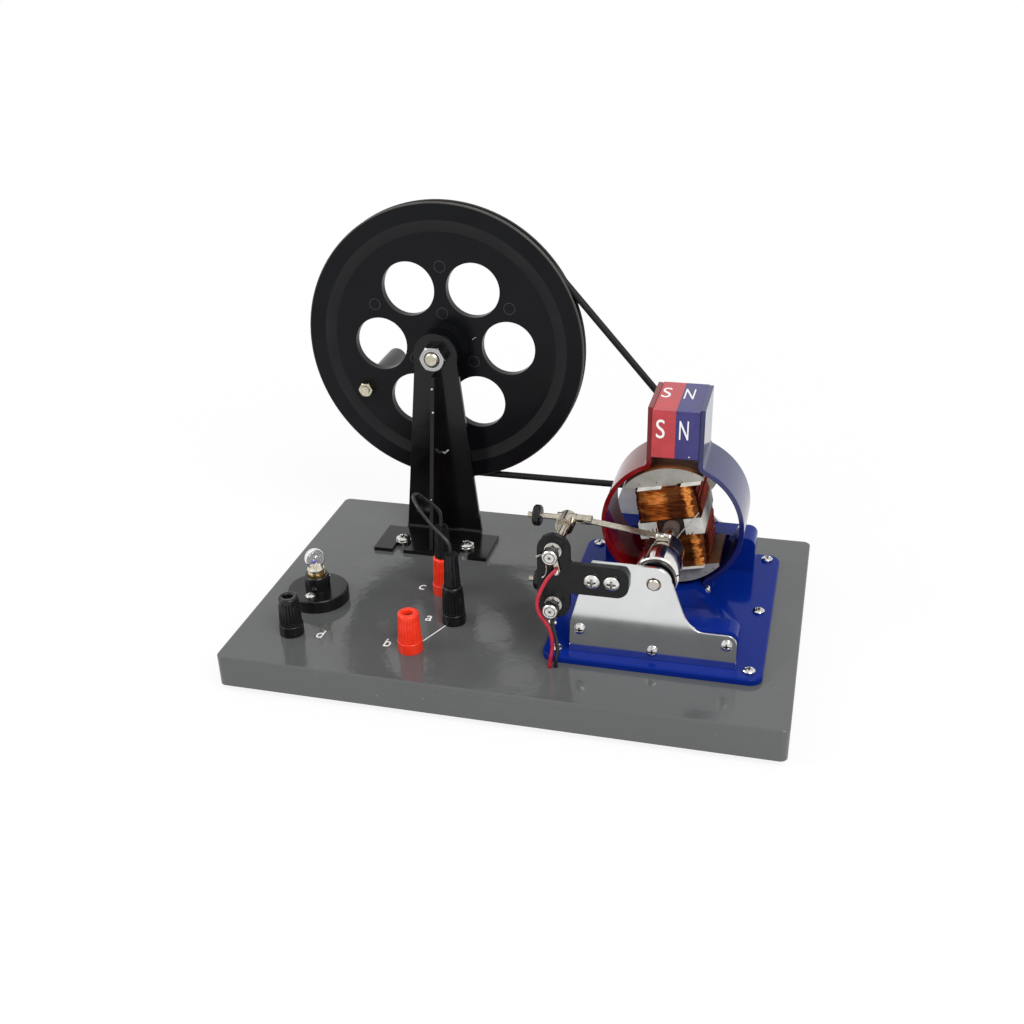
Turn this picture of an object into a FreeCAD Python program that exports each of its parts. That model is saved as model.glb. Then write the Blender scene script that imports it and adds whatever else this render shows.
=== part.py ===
import FreeCAD, Part
import math
import os

# Hand-cranked demonstration motor and generator on a teaching base.
# A belt wheel with a crank handle turns the armature of an open two-pole machine.
# Millimetres.  X runs to the right, Y to the back, Z up.  While the pieces are made, x = 0 and
# y = 0 are the middle of the base and z = 0 is the table.  At the end everything is moved so
# that the origin is under the middle of the whole apparatus.

V = FreeCAD.Vector
RIGHT = V(1, 0, 0)
BACK = V(0, 1, 0)
UP = V(0, 0, 1)

# ---------------------------------------------------------------- driving sizes
# Clearances
RUN_GAP = 0.3         # between faces that move past each other
SHAFT_FIT = 0.06      # radial, shaft in its bearing
SCREW_FIT = 0.2       # radial, screw in its hole
SNUG = 0.05           # radial, pieces that are pressed or screwed together

# Base: a moulded tray, open below, on four rubber feet
BASE_L = 300.0
BASE_W = 195.0
BASE_H = 18.0
BASE_CORNER_R = 4.0
BASE_EDGE_R = 0.8
DECK_T = 4.0
SKIRT_T = 3.5
FOOT_H = 4.0
FOOT_R = 5.5
FOOT_IN_X = 16.0
FOOT_IN_Y = 11.0
FOOT_BOSS_R = 6.5
RIB_T = 2.4
RIB_H = 3.0
RIB_PAST_SCREW = 9.0
FOOT_SCREW_L = 9.0

# Stand that carries the belt wheel
AXLE_X = -71.2
AXLE_H = 115.5        # above the deck
STAND_T = 2.3
STAND_FACE_Y = 64.0   # front face of the upright
UPRIGHT_FOOT_HALF = 24.0
UPRIGHT_TOP_R = 13.3
STAND_FOOT_W = 71.0
STAND_FOOT_FRONT_Y = 32.5
STAND_BEND_R = 2.0
STAND_SLOT_W = 7.0
STAND_SLOT_X = 20.3
STAND_SCREW_Y = 43.8
GUSSET_BELOW_AXLE = 10.5
GUSSET_TOP_REACH = 7.0
GUSSET_FOOT_REACH = 28.0

# Belt wheel, crank handle and belt
BELT_Y = 84.3
BELT_D = 4.0
BELT_R_ON_WHEEL = 82.0
BELT_R_ON_PULLEY = 14.7
RIM_W = 8.0
WHEEL_LIP = 2.65      # rim edge above the belt's centre line
WHEEL_WEB_T = 5.2
RIM_FACE_IN = 74.6
WEB_EDGE_R = 67.8
WHEEL_HOLES = 6
WHEEL_HOLE_R = 16.1
WHEEL_HOLE_PITCH_R = 39.4
WHEEL_HOLE_START = 1.25
HUB_R = 13.5
HUB_L = 16.0
AXLE_D = 8.0
AXLE_NUT_FLATS = 13.8
AXLE_NUT_H = 6.5
CRANK_R = 58.6
CRANK_ANGLE = 210.5
CRANK_BOLT_D = 5.0
CRANK_NUT_FLATS = 8.0
CRANK_NUT_H = 4.5
GRIP_L = 46.5
GRIP_R_NEAR = 4.9
GRIP_R_FAR = 6.3

# Open motor: casting, end plates, shaft line
MOTOR_X = 77.0
SHAFT_H = 48.4        # above the deck
SHAFT_D = 6.0
SHAFT_FRONT_Y = -57.0
SHAFT_PAST_PULLEY = 3.5
BUSH_R = 7.0
FRONT_BUSH_L = 1.8
REAR_BUSH_L = 4.0
COLLAR_R = 6.0
COLLAR_L = 4.0
PULLEY_LIP = 2.8      # rim above the belt's centre line
PULLEY_HUB_R = 8.0
PULLEY_HUB_L = 7.0
PULLEY_SCREW_IN = 3.5
FLANGE_Y = 3.2        # middle of the flange
FLANGE_W = 113.6
FLANGE_D = 133.0
FLANGE_T = 3.6
FLANGE_R = 7.0
FLANGE_SCREW_IN = 7.2  # flange edge to the middle of a screw
WALL_IN = 13.8        # flange edge to the side of the end walls
WALL_H = 25.0         # top of the two end walls above the deck
FRONT_PLATE_Y = -56.0  # outer face
REAR_PLATE_Y = 66.0    # outer face
PLATE_T = 2.0
PLATE_SCREW_BITE = 9.0
FRONT_WALL_T = 12.0
REAR_WALL_T = 17.5
HUMP_LEFT = -31.6
HUMP_TOP = 57.6
PLATE_HOLE_R = 3.6
PLATE_BELOW_WALL = 1.6
WAIST_HALF = 17.5
WAIST_H = 14.0

# Field magnet and pole yokes
YOKE_Y = 7.0
YOKE_D = 37.0
YOKE_T = 2.5
YOKE_BORE_R = 36.0
YOKE_BEND_R = 4.0
YOKE_SCREW_BITE = 8.0
YOKE_TAB_X = 19.1     # middle of the sheet where it is screwed to the casting
MAGNET_W = 24.6
MAGNET_D = 41.0
MAGNET_Y = 5.5
MAGNET_FOOT = 89.5    # above the deck
MAGNET_TOP = 116.0

# Armature
CORE_R = 34.2
CORE_Y = 8.0
CORE_L = 35.0
POLES = 2
POLE_START = 102.3    # degrees, direction of the upper pole at rest
POLE_STEM_W = 14.0
SHOE_CHORD = 24.8
SHOE_HALF = 21.4
COIL_IN_R = 5.0       # shaft centre to the near side of a coil
COIL_HALF_IN = 17.0   # half width of a coil beside the shaft
COIL_HALF_OUT = 15.6  # half width of a coil under its pole shoe
COIL_OVERHANG = 2.0
COIL_CORNER_R = 4.0
PAPER_T = 0.4
PAPER_FLAP = 4.0      # how far the shoe papers stand out past the core
SHOE_PAPERS = ((-20.0, -9.5), (1.0, 14.0))
LINER_FLAP = 2.6      # how far the paper liners stand out past the core
SLEEVE_R = 4.4
SLEEVE_L = 7.0
COMM_Y = -49.0
COMM_BARREL_L = 16.0
COMM_TRACK_L = 13.0
COMM_BARREL_R = 11.5
COMM_TRACK_R = 10.4
COMM_HUB_R = 6.0
COMM_SLOT = 0.8
COMM_RING_R = 10.2

# Brush gear on its insulating plate
BRUSH_X = 26.6        # the two terminal rods
BRUSH_ROD_SPREAD = 15.5
BRUSH_PLATE_T = 3.0
BRUSH_BAR_R = 8.4
BRUSH_ARM_HALF = 8.5
BRUSH_ARM_END_X = 65.0
BRUSH_ARM_END_R = 6.5
BRUSH_SCREW_X = 46.5
BRUSH_SCREW_GAP = 10.0
BRUSH_ROD_D = 4.0
BRUSH_ROD_FRONT_Y = -68.0
BRUSH_TRACK_Y = -26.5
CLAMP_R = 4.8
CLAMP_FRONT = 7.0     # from the middle of the track forwards
CLAMP_BACK = 3.2      # and backwards
CROSS_RISE = {1: 1.7, -1: 6.0}   # cross rod outside the terminal rod: upper, lower
ROD_END_GAP = 1.0     # end of a terminal rod to its cross rod
CROSS_ROD_D = 3.0
KNOB_X = 11.0
KNOB_R = 5.6
KNOB_T = 4.2
STRIP_T = 0.6
STRIP_W = 5.4

# Binding posts, lamp and jumper lead
POSTS = {"d": (-118.6, -66.0), "b": (-49.6, -67.8), "a": (-35.0, -35.7), "c": (-49.6, -6.0)}
POST_COLLAR_R = 6.7
POST_COLLAR_H = 6.4
POST_TOP_H = 23.0
POST_FOOT_R = 6.3
POST_TIP_R = 5.7
POST_MOUTH_R = 2.75
POST_STUD_R = 3.0
POST_SOCKET_R = 2.05
POST_STUD_TOP = 20.0
POST_SOCKET_L = 17.0
POST_FLUTES = 20
FLUTE_DEPTH = 0.35
PLUG_H = 19.0
PLUG_FOOT_R = 4.6
PLUG_TIP_R = 3.7
PLUG_PIN_R = 1.98
PLUG_PIN_L = 16.0
PLUG_FLUTES = 16
LEAD_D = 1.8
LAMP_X = -118.0
LAMP_Y = -28.5
LAMP_R = 17.3
LAMP_H = 7.3
LAMP_NECK_R = 7.0
LAMP_NECK_H = 16.0
LAMP_SCREW_R = 11.0
BULB_CAP_R = 4.7
BULB_CAP_H = 11.5
GLOBE_R = 5.7
GLOBE_H = 26.0
SHELL_T = 0.35

# Fasteners: shank radius, head radius, head height
M4_PAN = (2.0, 4.0, 2.6)
M4_LARGE = (2.0, 4.3, 3.0)
M4_SMALL = (2.0, 3.2, 2.4)
M3_PAN = (1.5, 2.85, 2.0)
M4_NUT_FLATS = 7.0
M4_NUT_H = 3.2
WASHER_T = 0.8
LUG_T = 0.5
WIRE_D = 2.0
WIRE_HOLES = {"red": (26.6, -68.6), "black": (29.3, -67.3)}

# ---------------------------------------------------------------- places worked out from them
DECK = FOOT_H + BASE_H
DECK_UNDER = DECK - DECK_T
BOSS_H = DECK_UNDER - FOOT_H
AXLE_Z = DECK + AXLE_H
SHAFT_Z = DECK + SHAFT_H
WHEEL_R = BELT_R_ON_WHEEL + WHEEL_LIP
RIM_FRONT = BELT_Y - RIM_W / 2
RIM_BACK = BELT_Y + RIM_W / 2
WEB_FRONT = BELT_Y - WHEEL_WEB_T / 2
WEB_BACK = BELT_Y + WHEEL_WEB_T / 2
HUB_FRONT = BELT_Y - HUB_L / 2
HUB_BACK = BELT_Y + HUB_L / 2
GROOVE_GAP = BELT_D / 2 + RUN_GAP
STAND_BACK_Y = STAND_FACE_Y + STAND_T
FLANGE_SCREW_X = FLANGE_W / 2 - FLANGE_SCREW_IN
FLANGE_SCREW_Y = FLANGE_D / 2 - FLANGE_SCREW_IN
WALL_HALF = FLANGE_W / 2 - WALL_IN
CRANK_X = AXLE_X + CRANK_R * math.cos(math.radians(CRANK_ANGLE))
CRANK_Z = AXLE_Z + CRANK_R * math.sin(math.radians(CRANK_ANGLE))
JAM_NUT_H = CRANK_NUT_H - 0.5
GRIP_Y = WEB_BACK + JAM_NUT_H + RUN_GAP
GRIP_END_Y = GRIP_Y + GRIP_L
WALL_FRONT_Y = FRONT_PLATE_Y + PLATE_T
WALL_REAR_Y = REAR_PLATE_Y - PLATE_T
CORE_MID_Y = CORE_Y + CORE_L / 2
CORE_BACK_Y = CORE_Y + CORE_L
COMM_STEP_Y = COMM_Y + COMM_BARREL_L
COMM_BACK_Y = COMM_STEP_Y + COMM_TRACK_L
YOKE_MID_Y = YOKE_Y + YOKE_D / 2
ORIGIN = V((AXLE_X - WHEEL_R + BASE_L / 2) / 2, (GRIP_END_Y - BASE_W / 2) / 2, 0)

nodes = {}


# ---------------------------------------------------------------- shape helpers
def put(shape, at, axis):
    """Turn a shape made along +Z to lie along axis and move its foot to the point at."""
    shape.Placement = FreeCAD.Placement(at, FreeCAD.Rotation(UP, axis))
    return shape


def rod(at, axis, radius, length):
    return Part.makeCylinder(radius, length, at, axis)


def ring(at, axis, outer, inner, length):
    return rod(at, axis, outer, length).cut(rod(at, axis, inner, length))


def block(x0, x1, y0, y1, z0, z1):
    return Part.makeBox(x1 - x0, y1 - y0, z1 - z0, V(x0, y0, z0))


def outline(moves, lift):
    """A closed flat face. A move is an end point (u, v), or (u, v, mu, mv) for an arc through m."""
    edges = []
    here = moves[0]
    for move in list(moves[1:]) + [moves[0][:2]]:
        start = lift(*here[:2])
        end = lift(*move[:2])
        if len(move) == 4:
            edges.append(Part.Arc(start, lift(*move[2:]), end).toShape())
        elif start.distanceToPoint(end) > 1e-6:
            edges.append(Part.LineSegment(start, end).toShape())
        here = move
    return Part.Face(Part.Wire(edges))


def turned(moves, at, axis):
    """A body of revolution: the outline's u is the radius and its v the height along axis."""
    face = outline(moves, lambda u, v: V(u, 0, v))
    return put(face.revolve(V(0, 0, 0), UP, 360), at, axis)


def front_view(moves, y, depth):
    """An outline drawn in x and z, from y backwards."""
    return outline(moves, lambda u, v: V(u, y, v)).extrude(BACK * depth)


def rounded_plate(x0, x1, y0, y1, z0, z1, radius):
    plate = block(x0, x1, y0, y1, z0, z1)
    uprights = [e for e in plate.Edges if abs(e.tangentAt(e.FirstParameter).z) > 0.99]
    return plate.makeFillet(radius, uprights)


def pan_screw(at, axis, size, length):
    """Pan head resting on the point at, its shank running back along -axis."""
    shank, head, height = size
    crown = height * 0.45
    profile = [(0, -length), (shank, -length), (shank, 0), (head, 0), (head, height - crown),
               (head * 0.55, height, head * 0.88, height - crown * 0.35), (0, height)]
    return turned(profile, at, axis)


def hex_nut(at, axis, flats, height, bore):
    """Hexagon nut with both rims chamfered, standing on the point at."""
    corner = flats / math.sqrt(3)
    chamfer = corner - flats / 2
    points = [V(corner * math.cos(math.radians(60 * k)), corner * math.sin(math.radians(60 * k)), 0)
              for k in range(7)]
    prism = Part.Face(Part.makePolygon(points)).extrude(UP * height)
    turned_blank = turned([(bore, 0), (flats / 2, 0), (corner, chamfer * 0.6),
                           (corner, height - chamfer * 0.6), (flats / 2, height), (bore, height)],
                          V(0, 0, 0), UP)
    return put(prism.common(turned_blank), at, axis)


def fluted(foot_r, tip_r, height, flutes, depth):
    """A tapered grip whose side is folded into straight V-shaped flutes."""
    rings = []
    for z, radius in ((0, foot_r), (height, tip_r)):
        points = []
        for k in range(2 * flutes + 1):
            angle = math.pi * k / flutes
            reach = radius - depth * (k % 2) * radius / foot_r
            points.append(V(reach * math.cos(angle), reach * math.sin(angle), z))
        rings.append(Part.makePolygon(points))
    return Part.makeLoft(rings, True, True)


def tube_along(points, diameter, name):
    """A round cord through the points: straight runs joined by tangent arcs."""
    bends = []
    for before, corner, after in zip(points, points[1:], points[2:]):
        into = (before - corner).normalize()
        out = (after - corner).normalize()
        half_turn = (math.pi - into.getAngle(out)) / 2
        run = min(before.distanceToPoint(corner), after.distanceToPoint(corner))
        reach = 0.45 * run
        radius = reach / math.tan(half_turn)
        bisector = (into + out).normalize()
        centre_gap = radius / math.cos(half_turn)
        bends.append((corner + into * reach, corner + bisector * (centre_gap - radius),
                      corner + out * reach, radius))
    edges = []
    here = points[0]
    for start, middle, end, radius in bends:
        edges.append(Part.LineSegment(here, start).toShape())
        edges.append(Part.Arc(start, middle, end).toShape())
        here = end
    edges.append(Part.LineSegment(here, points[-1]).toShape())
    path = Part.Wire(edges)
    heading = points[1] - points[0]
    section = Part.Wire(Part.makeCircle(diameter / 2, points[0], heading))
    tube = path.makePipeShell([section], True, False)
    expected = math.pi * diameter ** 2 / 4 * path.Length
    radii = " ".join("%.1f" % bend[3] for bend in bends)
    print("%s: length %.1f, volume ratio %.4f, radii %s"
          % (name, path.Length, tube.Volume / expected, radii))
    return tube


def node(name, *solids):
    nodes[name] = solids[0] if len(solids) == 1 else Part.makeCompound(list(solids))


# ---------------------------------------------------------------- base
def foot_places():
    reach_x = BASE_L / 2 - FOOT_IN_X
    reach_y = BASE_W / 2 - FOOT_IN_Y
    return [(sx * reach_x, sy * reach_y) for sx in (-1, 1) for sy in (-1, 1)]


def stand_screw_places():
    return [(AXLE_X + side * STAND_SLOT_X, STAND_SCREW_Y) for side in (-1, 1)]


def flange_screw_places():
    return [(MOTOR_X + side * FLANGE_SCREW_X, FLANGE_Y + row * FLANGE_SCREW_Y)
            for side in (-1, 1) for row in (-1, 0, 1)]


def lamp_screw_places():
    return [(LAMP_X, LAMP_Y + side * LAMP_SCREW_R) for side in (-1, 1)]


def make_base():
    half_l = BASE_L / 2
    half_w = BASE_W / 2
    in_l = half_l - SKIRT_T
    in_w = half_w - SKIRT_T
    deck = rounded_plate(-half_l, half_l, -half_w, half_w, DECK_UNDER, DECK, BASE_CORNER_R)
    rims = [e for e in deck.Edges if e.BoundBox.ZMin > DECK - 0.01]
    deck = deck.makeFillet(BASE_EDGE_R, rims)
    rib_foot = DECK_UNDER - RIB_H
    rib_y = FLANGE_Y + FLANGE_SCREW_Y / 2
    ribs = [block(-in_l, in_l, rib_y - RIB_T / 2, rib_y + RIB_T / 2, rib_foot, DECK_UNDER)]
    for x in (AXLE_X, MOTOR_X - FLANGE_W / 2 - RIB_T, MOTOR_X + FLANGE_SCREW_X - RIB_PAST_SCREW):
        ribs.append(block(x - RIB_T / 2, x + RIB_T / 2, -in_w, in_w, rib_foot, DECK_UNDER))
    deck = deck.fuse(ribs).removeSplitter()
    # The skirt stays four straight walls under the deck, and the foot bosses stay round posts.
    rim = rounded_plate(-half_l, half_l, -half_w, half_w, FOOT_H, DECK_UNDER, BASE_CORNER_R)
    walls = [rim.common(block(*sides, FOOT_H, DECK_UNDER)) for sides in (
        (-half_l, half_l, -half_w, -in_w), (-half_l, half_l, in_w, half_w),
        (-half_l, -in_l, -in_w, in_w), (in_l, half_l, -in_w, in_w))]
    bosses = []
    for x, y in foot_places():
        bosses.append(ring(V(x, y, FOOT_H), UP, FOOT_BOSS_R, M3_PAN[0] + SNUG, BOSS_H))
    deep = DECK_T + RIB_H + 2
    drills = []
    m4_hole = M4_PAN[0] + SCREW_FIT
    for x, y in stand_screw_places() + flange_screw_places() + list(POSTS.values()):
        drills.append(rod(V(x, y, DECK + 1), -UP, m4_hole, deep))
    for x, y in lamp_screw_places():
        drills.append(rod(V(x, y, DECK + 1), -UP, M3_PAN[0] + SCREW_FIT, deep))
    for x, y in WIRE_HOLES.values():
        drills.append(rod(V(x, y, DECK + 1), -UP, WIRE_D / 2 + SCREW_FIT, deep))
    node("base_board", deck.cut(drills), *walls, *bosses)
    feet = []
    screws = []
    recess = FOOT_H * 0.5
    for x, y in foot_places():
        foot = ring(V(x, y, 0), UP, FOOT_R, M3_PAN[0] + SCREW_FIT, FOOT_H)
        foot = foot.cut(rod(V(x, y, 0), UP, M3_PAN[1] + SCREW_FIT, recess))
        feet.append(foot)
        size = (M3_PAN[0], M3_PAN[1], recess * 0.8)
        screws.append(pan_screw(V(x, y, recess), -UP, size, FOOT_SCREW_L))
    node("rubber_feet", *feet)
    node("foot_screws", *screws)


# ---------------------------------------------------------------- wheel stand
def make_stand():
    top = AXLE_Z
    foot_top = DECK + STAND_T
    taper_top = AXLE_Z - UPRIGHT_TOP_R * 0.25
    shoulder = math.sqrt(UPRIGHT_TOP_R ** 2 - (AXLE_Z - taper_top) ** 2)
    upright = front_view([(AXLE_X - UPRIGHT_FOOT_HALF, foot_top),
                          (AXLE_X + UPRIGHT_FOOT_HALF, foot_top),
                          (AXLE_X + shoulder, taper_top),
                          (AXLE_X - shoulder, taper_top, AXLE_X, top + UPRIGHT_TOP_R)],
                         STAND_FACE_Y, STAND_T)
    half = STAND_FOOT_W / 2
    foot = block(AXLE_X - half, AXLE_X + half, STAND_FOOT_FRONT_Y, STAND_FACE_Y - STAND_BEND_R,
                 DECK, foot_top)
    bend_mid = math.sqrt(0.5)
    bend_y = STAND_FACE_Y - STAND_BEND_R
    bend_z = foot_top + STAND_BEND_R
    outer = STAND_BEND_R + STAND_T
    bend = outline([(bend_y, DECK),
                    (bend_y + outer, bend_z, bend_y + outer * bend_mid, bend_z - outer * bend_mid),
                    (bend_y + STAND_BEND_R, bend_z),
                    (bend_y, foot_top, bend_y + STAND_BEND_R * bend_mid,
                     bend_z - STAND_BEND_R * bend_mid)],
                   lambda u, v: V(AXLE_X - UPRIGHT_FOOT_HALF, u, v))
    bend = bend.extrude(RIGHT * 2 * UPRIGHT_FOOT_HALF)
    upright = upright.cut(block(AXLE_X - half, AXLE_X + half, STAND_FACE_Y - 1, STAND_BACK_Y + 1,
                                DECK, bend_z))
    gusset_top = AXLE_Z - GUSSET_BELOW_AXLE
    gusset = outline([(STAND_FACE_Y, foot_top),
                      (STAND_FACE_Y, gusset_top),
                      (STAND_FACE_Y - GUSSET_TOP_REACH, gusset_top),
                      (STAND_FACE_Y - GUSSET_FOOT_REACH, foot_top)],
                     lambda u, v: V(AXLE_X - STAND_T / 2, u, v)).extrude(RIGHT * STAND_T)
    slots = []
    slot_r = STAND_SLOT_W / 2
    slot_end = STAND_SCREW_Y + slot_r * 0.6
    for x, y in stand_screw_places():
        slots.append(block(x - slot_r, x + slot_r, STAND_FOOT_FRONT_Y - 1, slot_end,
                           DECK - 1, foot_top + 1))
        slots.append(rod(V(x, slot_end, DECK - 1), UP, slot_r, STAND_T + 2))
    bracket = foot.fuse([bend, upright, gusset]).cut(slots)
    axle_hole = rod(V(AXLE_X, STAND_FACE_Y - 1, AXLE_Z), BACK, AXLE_D / 2 + SNUG, STAND_T + 2)
    node("stand_bracket", bracket.cut(axle_hole).removeSplitter())
    screws = []
    washers = []
    seat = foot_top + WASHER_T
    for x, y in stand_screw_places():
        screws.append(pan_screw(V(x, y, seat), UP, M4_LARGE, seat - DECK_UNDER + M4_NUT_H + 1.0))
        washers.append(ring(V(x, y, foot_top), UP, M4_LARGE[1] + 0.3, M4_LARGE[0] + SNUG, WASHER_T))
    node("stand_screws", *screws, *washers)


# ---------------------------------------------------------------- belt wheel on its axle
def make_wheel():
    centre = V(AXLE_X, 0, AXLE_Z)
    bore = AXLE_D / 2 + SHAFT_FIT
    lip = 1.0
    mouth = GROOVE_GAP + 0.4
    profile = [(bore, HUB_FRONT), (HUB_R, HUB_FRONT), (HUB_R, WEB_FRONT),
               (WEB_EDGE_R, WEB_FRONT), (RIM_FACE_IN, RIM_FRONT + 0.3), (WHEEL_R - lip, RIM_FRONT),
               (WHEEL_R, RIM_FRONT + lip, WHEEL_R - lip * 0.29, RIM_FRONT + lip * 0.29),
               (WHEEL_R, BELT_Y - mouth), (BELT_R_ON_WHEEL, BELT_Y - GROOVE_GAP),
               (BELT_R_ON_WHEEL, BELT_Y + GROOVE_GAP, BELT_R_ON_WHEEL - GROOVE_GAP, BELT_Y),
               (WHEEL_R, BELT_Y + mouth), (WHEEL_R, RIM_BACK - lip),
               (WHEEL_R - lip, RIM_BACK, WHEEL_R - lip * 0.29, RIM_BACK - lip * 0.29),
               (RIM_FACE_IN, RIM_BACK - 0.3), (WEB_EDGE_R, WEB_BACK), (HUB_R, WEB_BACK),
               (HUB_R, HUB_BACK), (bore, HUB_BACK)]
    wheel = turned(profile, centre, BACK)
    cuts = []
    for k in range(WHEEL_HOLES):
        angle = math.radians(WHEEL_HOLE_START + 360.0 / WHEEL_HOLES * k)
        at = V(AXLE_X + WHEEL_HOLE_PITCH_R * math.cos(angle), WEB_FRONT - 1,
               AXLE_Z + WHEEL_HOLE_PITCH_R * math.sin(angle))
        cuts.append(rod(at, BACK, WHEEL_HOLE_R, WHEEL_WEB_T + 2))
    cuts.append(rod(V(CRANK_X, WEB_FRONT - 1, CRANK_Z), BACK, CRANK_BOLT_D / 2 + SNUG,
                    WHEEL_WEB_T + 2))
    node("belt_wheel", wheel.cut(cuts))


def make_axle():
    shank = AXLE_D / 2
    nut_front = STAND_FACE_Y - AXLE_NUT_H
    lock_nut_h = AXLE_NUT_H - 0.5
    lock_back = STAND_BACK_Y + lock_nut_h
    head_y = HUB_BACK + RUN_GAP + WASHER_T * 2
    head_h = 5.3
    start = nut_front - 1.3
    bolt = rod(V(AXLE_X, start, AXLE_Z), BACK, shank, head_y - start)
    bolt = bolt.makeChamfer(0.8, [e for e in bolt.Edges if e.BoundBox.YMax < start + 0.01])
    head = hex_nut(V(AXLE_X, head_y, AXLE_Z), BACK, AXLE_NUT_FLATS, head_h, shank)
    core = rod(V(AXLE_X, head_y - 0.5, AXLE_Z), BACK, shank, head_h + 0.2)
    node("axle_bolt", bolt.fuse([head, core]).removeSplitter())
    bore = shank + SNUG
    spacer_l = HUB_FRONT - RUN_GAP - lock_back
    node("axle_nuts",
         hex_nut(V(AXLE_X, nut_front, AXLE_Z), BACK, AXLE_NUT_FLATS, AXLE_NUT_H, bore),
         hex_nut(V(AXLE_X, STAND_BACK_Y, AXLE_Z), BACK, AXLE_NUT_FLATS, lock_nut_h, bore),
         ring(V(AXLE_X, lock_back, AXLE_Z), BACK, AXLE_D, bore, spacer_l),
         ring(V(AXLE_X, head_y - WASHER_T * 2, AXLE_Z), BACK, AXLE_D, bore, WASHER_T * 2))


def make_crank():
    shank = CRANK_BOLT_D / 2
    at = V(CRANK_X, 0, CRANK_Z)
    nut_front = WEB_FRONT - CRANK_NUT_H
    start = nut_front - 1.2
    recess_r = 4.6
    recess_l = 6.0
    seat = GRIP_END_Y - recess_l
    head_r = 4.25
    head_l = recess_l - 1.0
    bolt = rod(at + BACK * start, BACK, shank, seat + RUN_GAP + 0.5 - start)
    head = rod(at + BACK * (seat + RUN_GAP), BACK, head_r, head_l - RUN_GAP)
    head = head.cut(rod(at + BACK * (seat + 2.5), BACK, shank * 0.9, head_l))
    node("crank_bolt", bolt.fuse(head).removeSplitter())
    bore = shank + SNUG
    node("crank_nuts",
         hex_nut(at + BACK * nut_front, BACK, CRANK_NUT_FLATS, CRANK_NUT_H, bore),
         hex_nut(at + BACK * WEB_BACK, BACK, CRANK_NUT_FLATS, JAM_NUT_H, bore))
    round_r = 1.2
    full_l = GRIP_L * 0.8
    profile = [(shank + SHAFT_FIT, 0), (GRIP_R_NEAR - 0.6, 0), (GRIP_R_NEAR, 0.6),
               (GRIP_R_FAR, full_l, (GRIP_R_NEAR + GRIP_R_FAR) / 2 + 0.25, full_l * 0.5),
               (GRIP_R_FAR, GRIP_L - round_r),
               (GRIP_R_FAR - round_r, GRIP_L,
                GRIP_R_FAR - round_r * 0.29, GRIP_L - round_r * 0.29),
               (recess_r, GRIP_L), (recess_r, GRIP_L - recess_l),
               (shank + SHAFT_FIT, GRIP_L - recess_l)]
    node("crank_grip", turned(profile, at + BACK * GRIP_Y, BACK))


def make_belt():
    """Round belt: the two outer tangents of the pulley circles, closed by their arcs."""
    big = V(AXLE_X, BELT_Y, AXLE_Z)
    small = V(MOTOR_X, BELT_Y, SHAFT_Z)
    span = small - big
    along = V(span.x, span.y, span.z).normalize()
    across = V(-along.z, 0, along.x)
    lean = (BELT_R_ON_WHEEL - BELT_R_ON_PULLEY) / span.Length
    rise = math.sqrt(1 - lean ** 2)
    upper = along * lean + across * rise
    lower = along * lean - across * rise
    edges = [Part.LineSegment(big + upper * BELT_R_ON_WHEEL,
                              small + upper * BELT_R_ON_PULLEY).toShape(),
             Part.Arc(small + upper * BELT_R_ON_PULLEY, small + along * BELT_R_ON_PULLEY,
                      small + lower * BELT_R_ON_PULLEY).toShape(),
             Part.LineSegment(small + lower * BELT_R_ON_PULLEY,
                              big + lower * BELT_R_ON_WHEEL).toShape(),
             Part.Arc(big + lower * BELT_R_ON_WHEEL, big - along * BELT_R_ON_WHEEL,
                      big + upper * BELT_R_ON_WHEEL).toShape()]
    path = Part.Wire(edges)
    start = big + upper * BELT_R_ON_WHEEL
    section = Part.Wire(Part.makeCircle(BELT_D / 2, start, small + upper * BELT_R_ON_PULLEY - start))
    belt = path.makePipeShell([section], True, False)
    expected = math.pi * BELT_D ** 2 / 4 * path.Length
    print("drive_belt: length %.1f, volume ratio %.4f" % (path.Length, belt.Volume / expected))
    node("drive_belt", belt)


# ---------------------------------------------------------------- motor frame
def plate_outline():
    """End plate seen from the front: low shoulders and one hump up to the shaft."""
    x = MOTOR_X
    z = DECK
    corner = 5.0
    shoulder = WALL_H - PLATE_BELOW_WALL
    hump_r = HUMP_TOP - SHAFT_H
    side = hump_r * math.cos(math.radians(8))
    side_up = hump_r * math.sin(math.radians(8))
    sweep = 10.0      # the hollow curve between hump and shoulder
    sweep_x = side + 0.37 * (SHAFT_H + side_up - shoulder - sweep * 0.76)
    return [(x - WALL_HALF, z + FLANGE_T), (x + WALL_HALF, z + FLANGE_T),
            (x + WALL_HALF - 0.3, z + shoulder - corner),
            (x + WALL_HALF - corner - 0.3, z + shoulder,
             x + WALL_HALF - 0.3 - corner * 0.29, z + shoulder - corner * 0.29),
            (x + sweep_x + sweep, z + shoulder),
            (x + sweep_x, z + shoulder + sweep * 0.76,
             x + sweep_x + sweep * 0.37, z + shoulder + sweep * 0.24),
            (x + side, z + SHAFT_H + side_up),
            (x, z + HUMP_TOP, x + hump_r * math.sin(math.radians(41)),
             z + SHAFT_H + hump_r * math.cos(math.radians(41))),
            (x + HUMP_LEFT, z + HUMP_TOP), (x - WALL_HALF + 4.4, z + WALL_H + 11.2),
            (x - WALL_HALF + 0.6, z + WALL_H - 3.5)]


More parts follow.
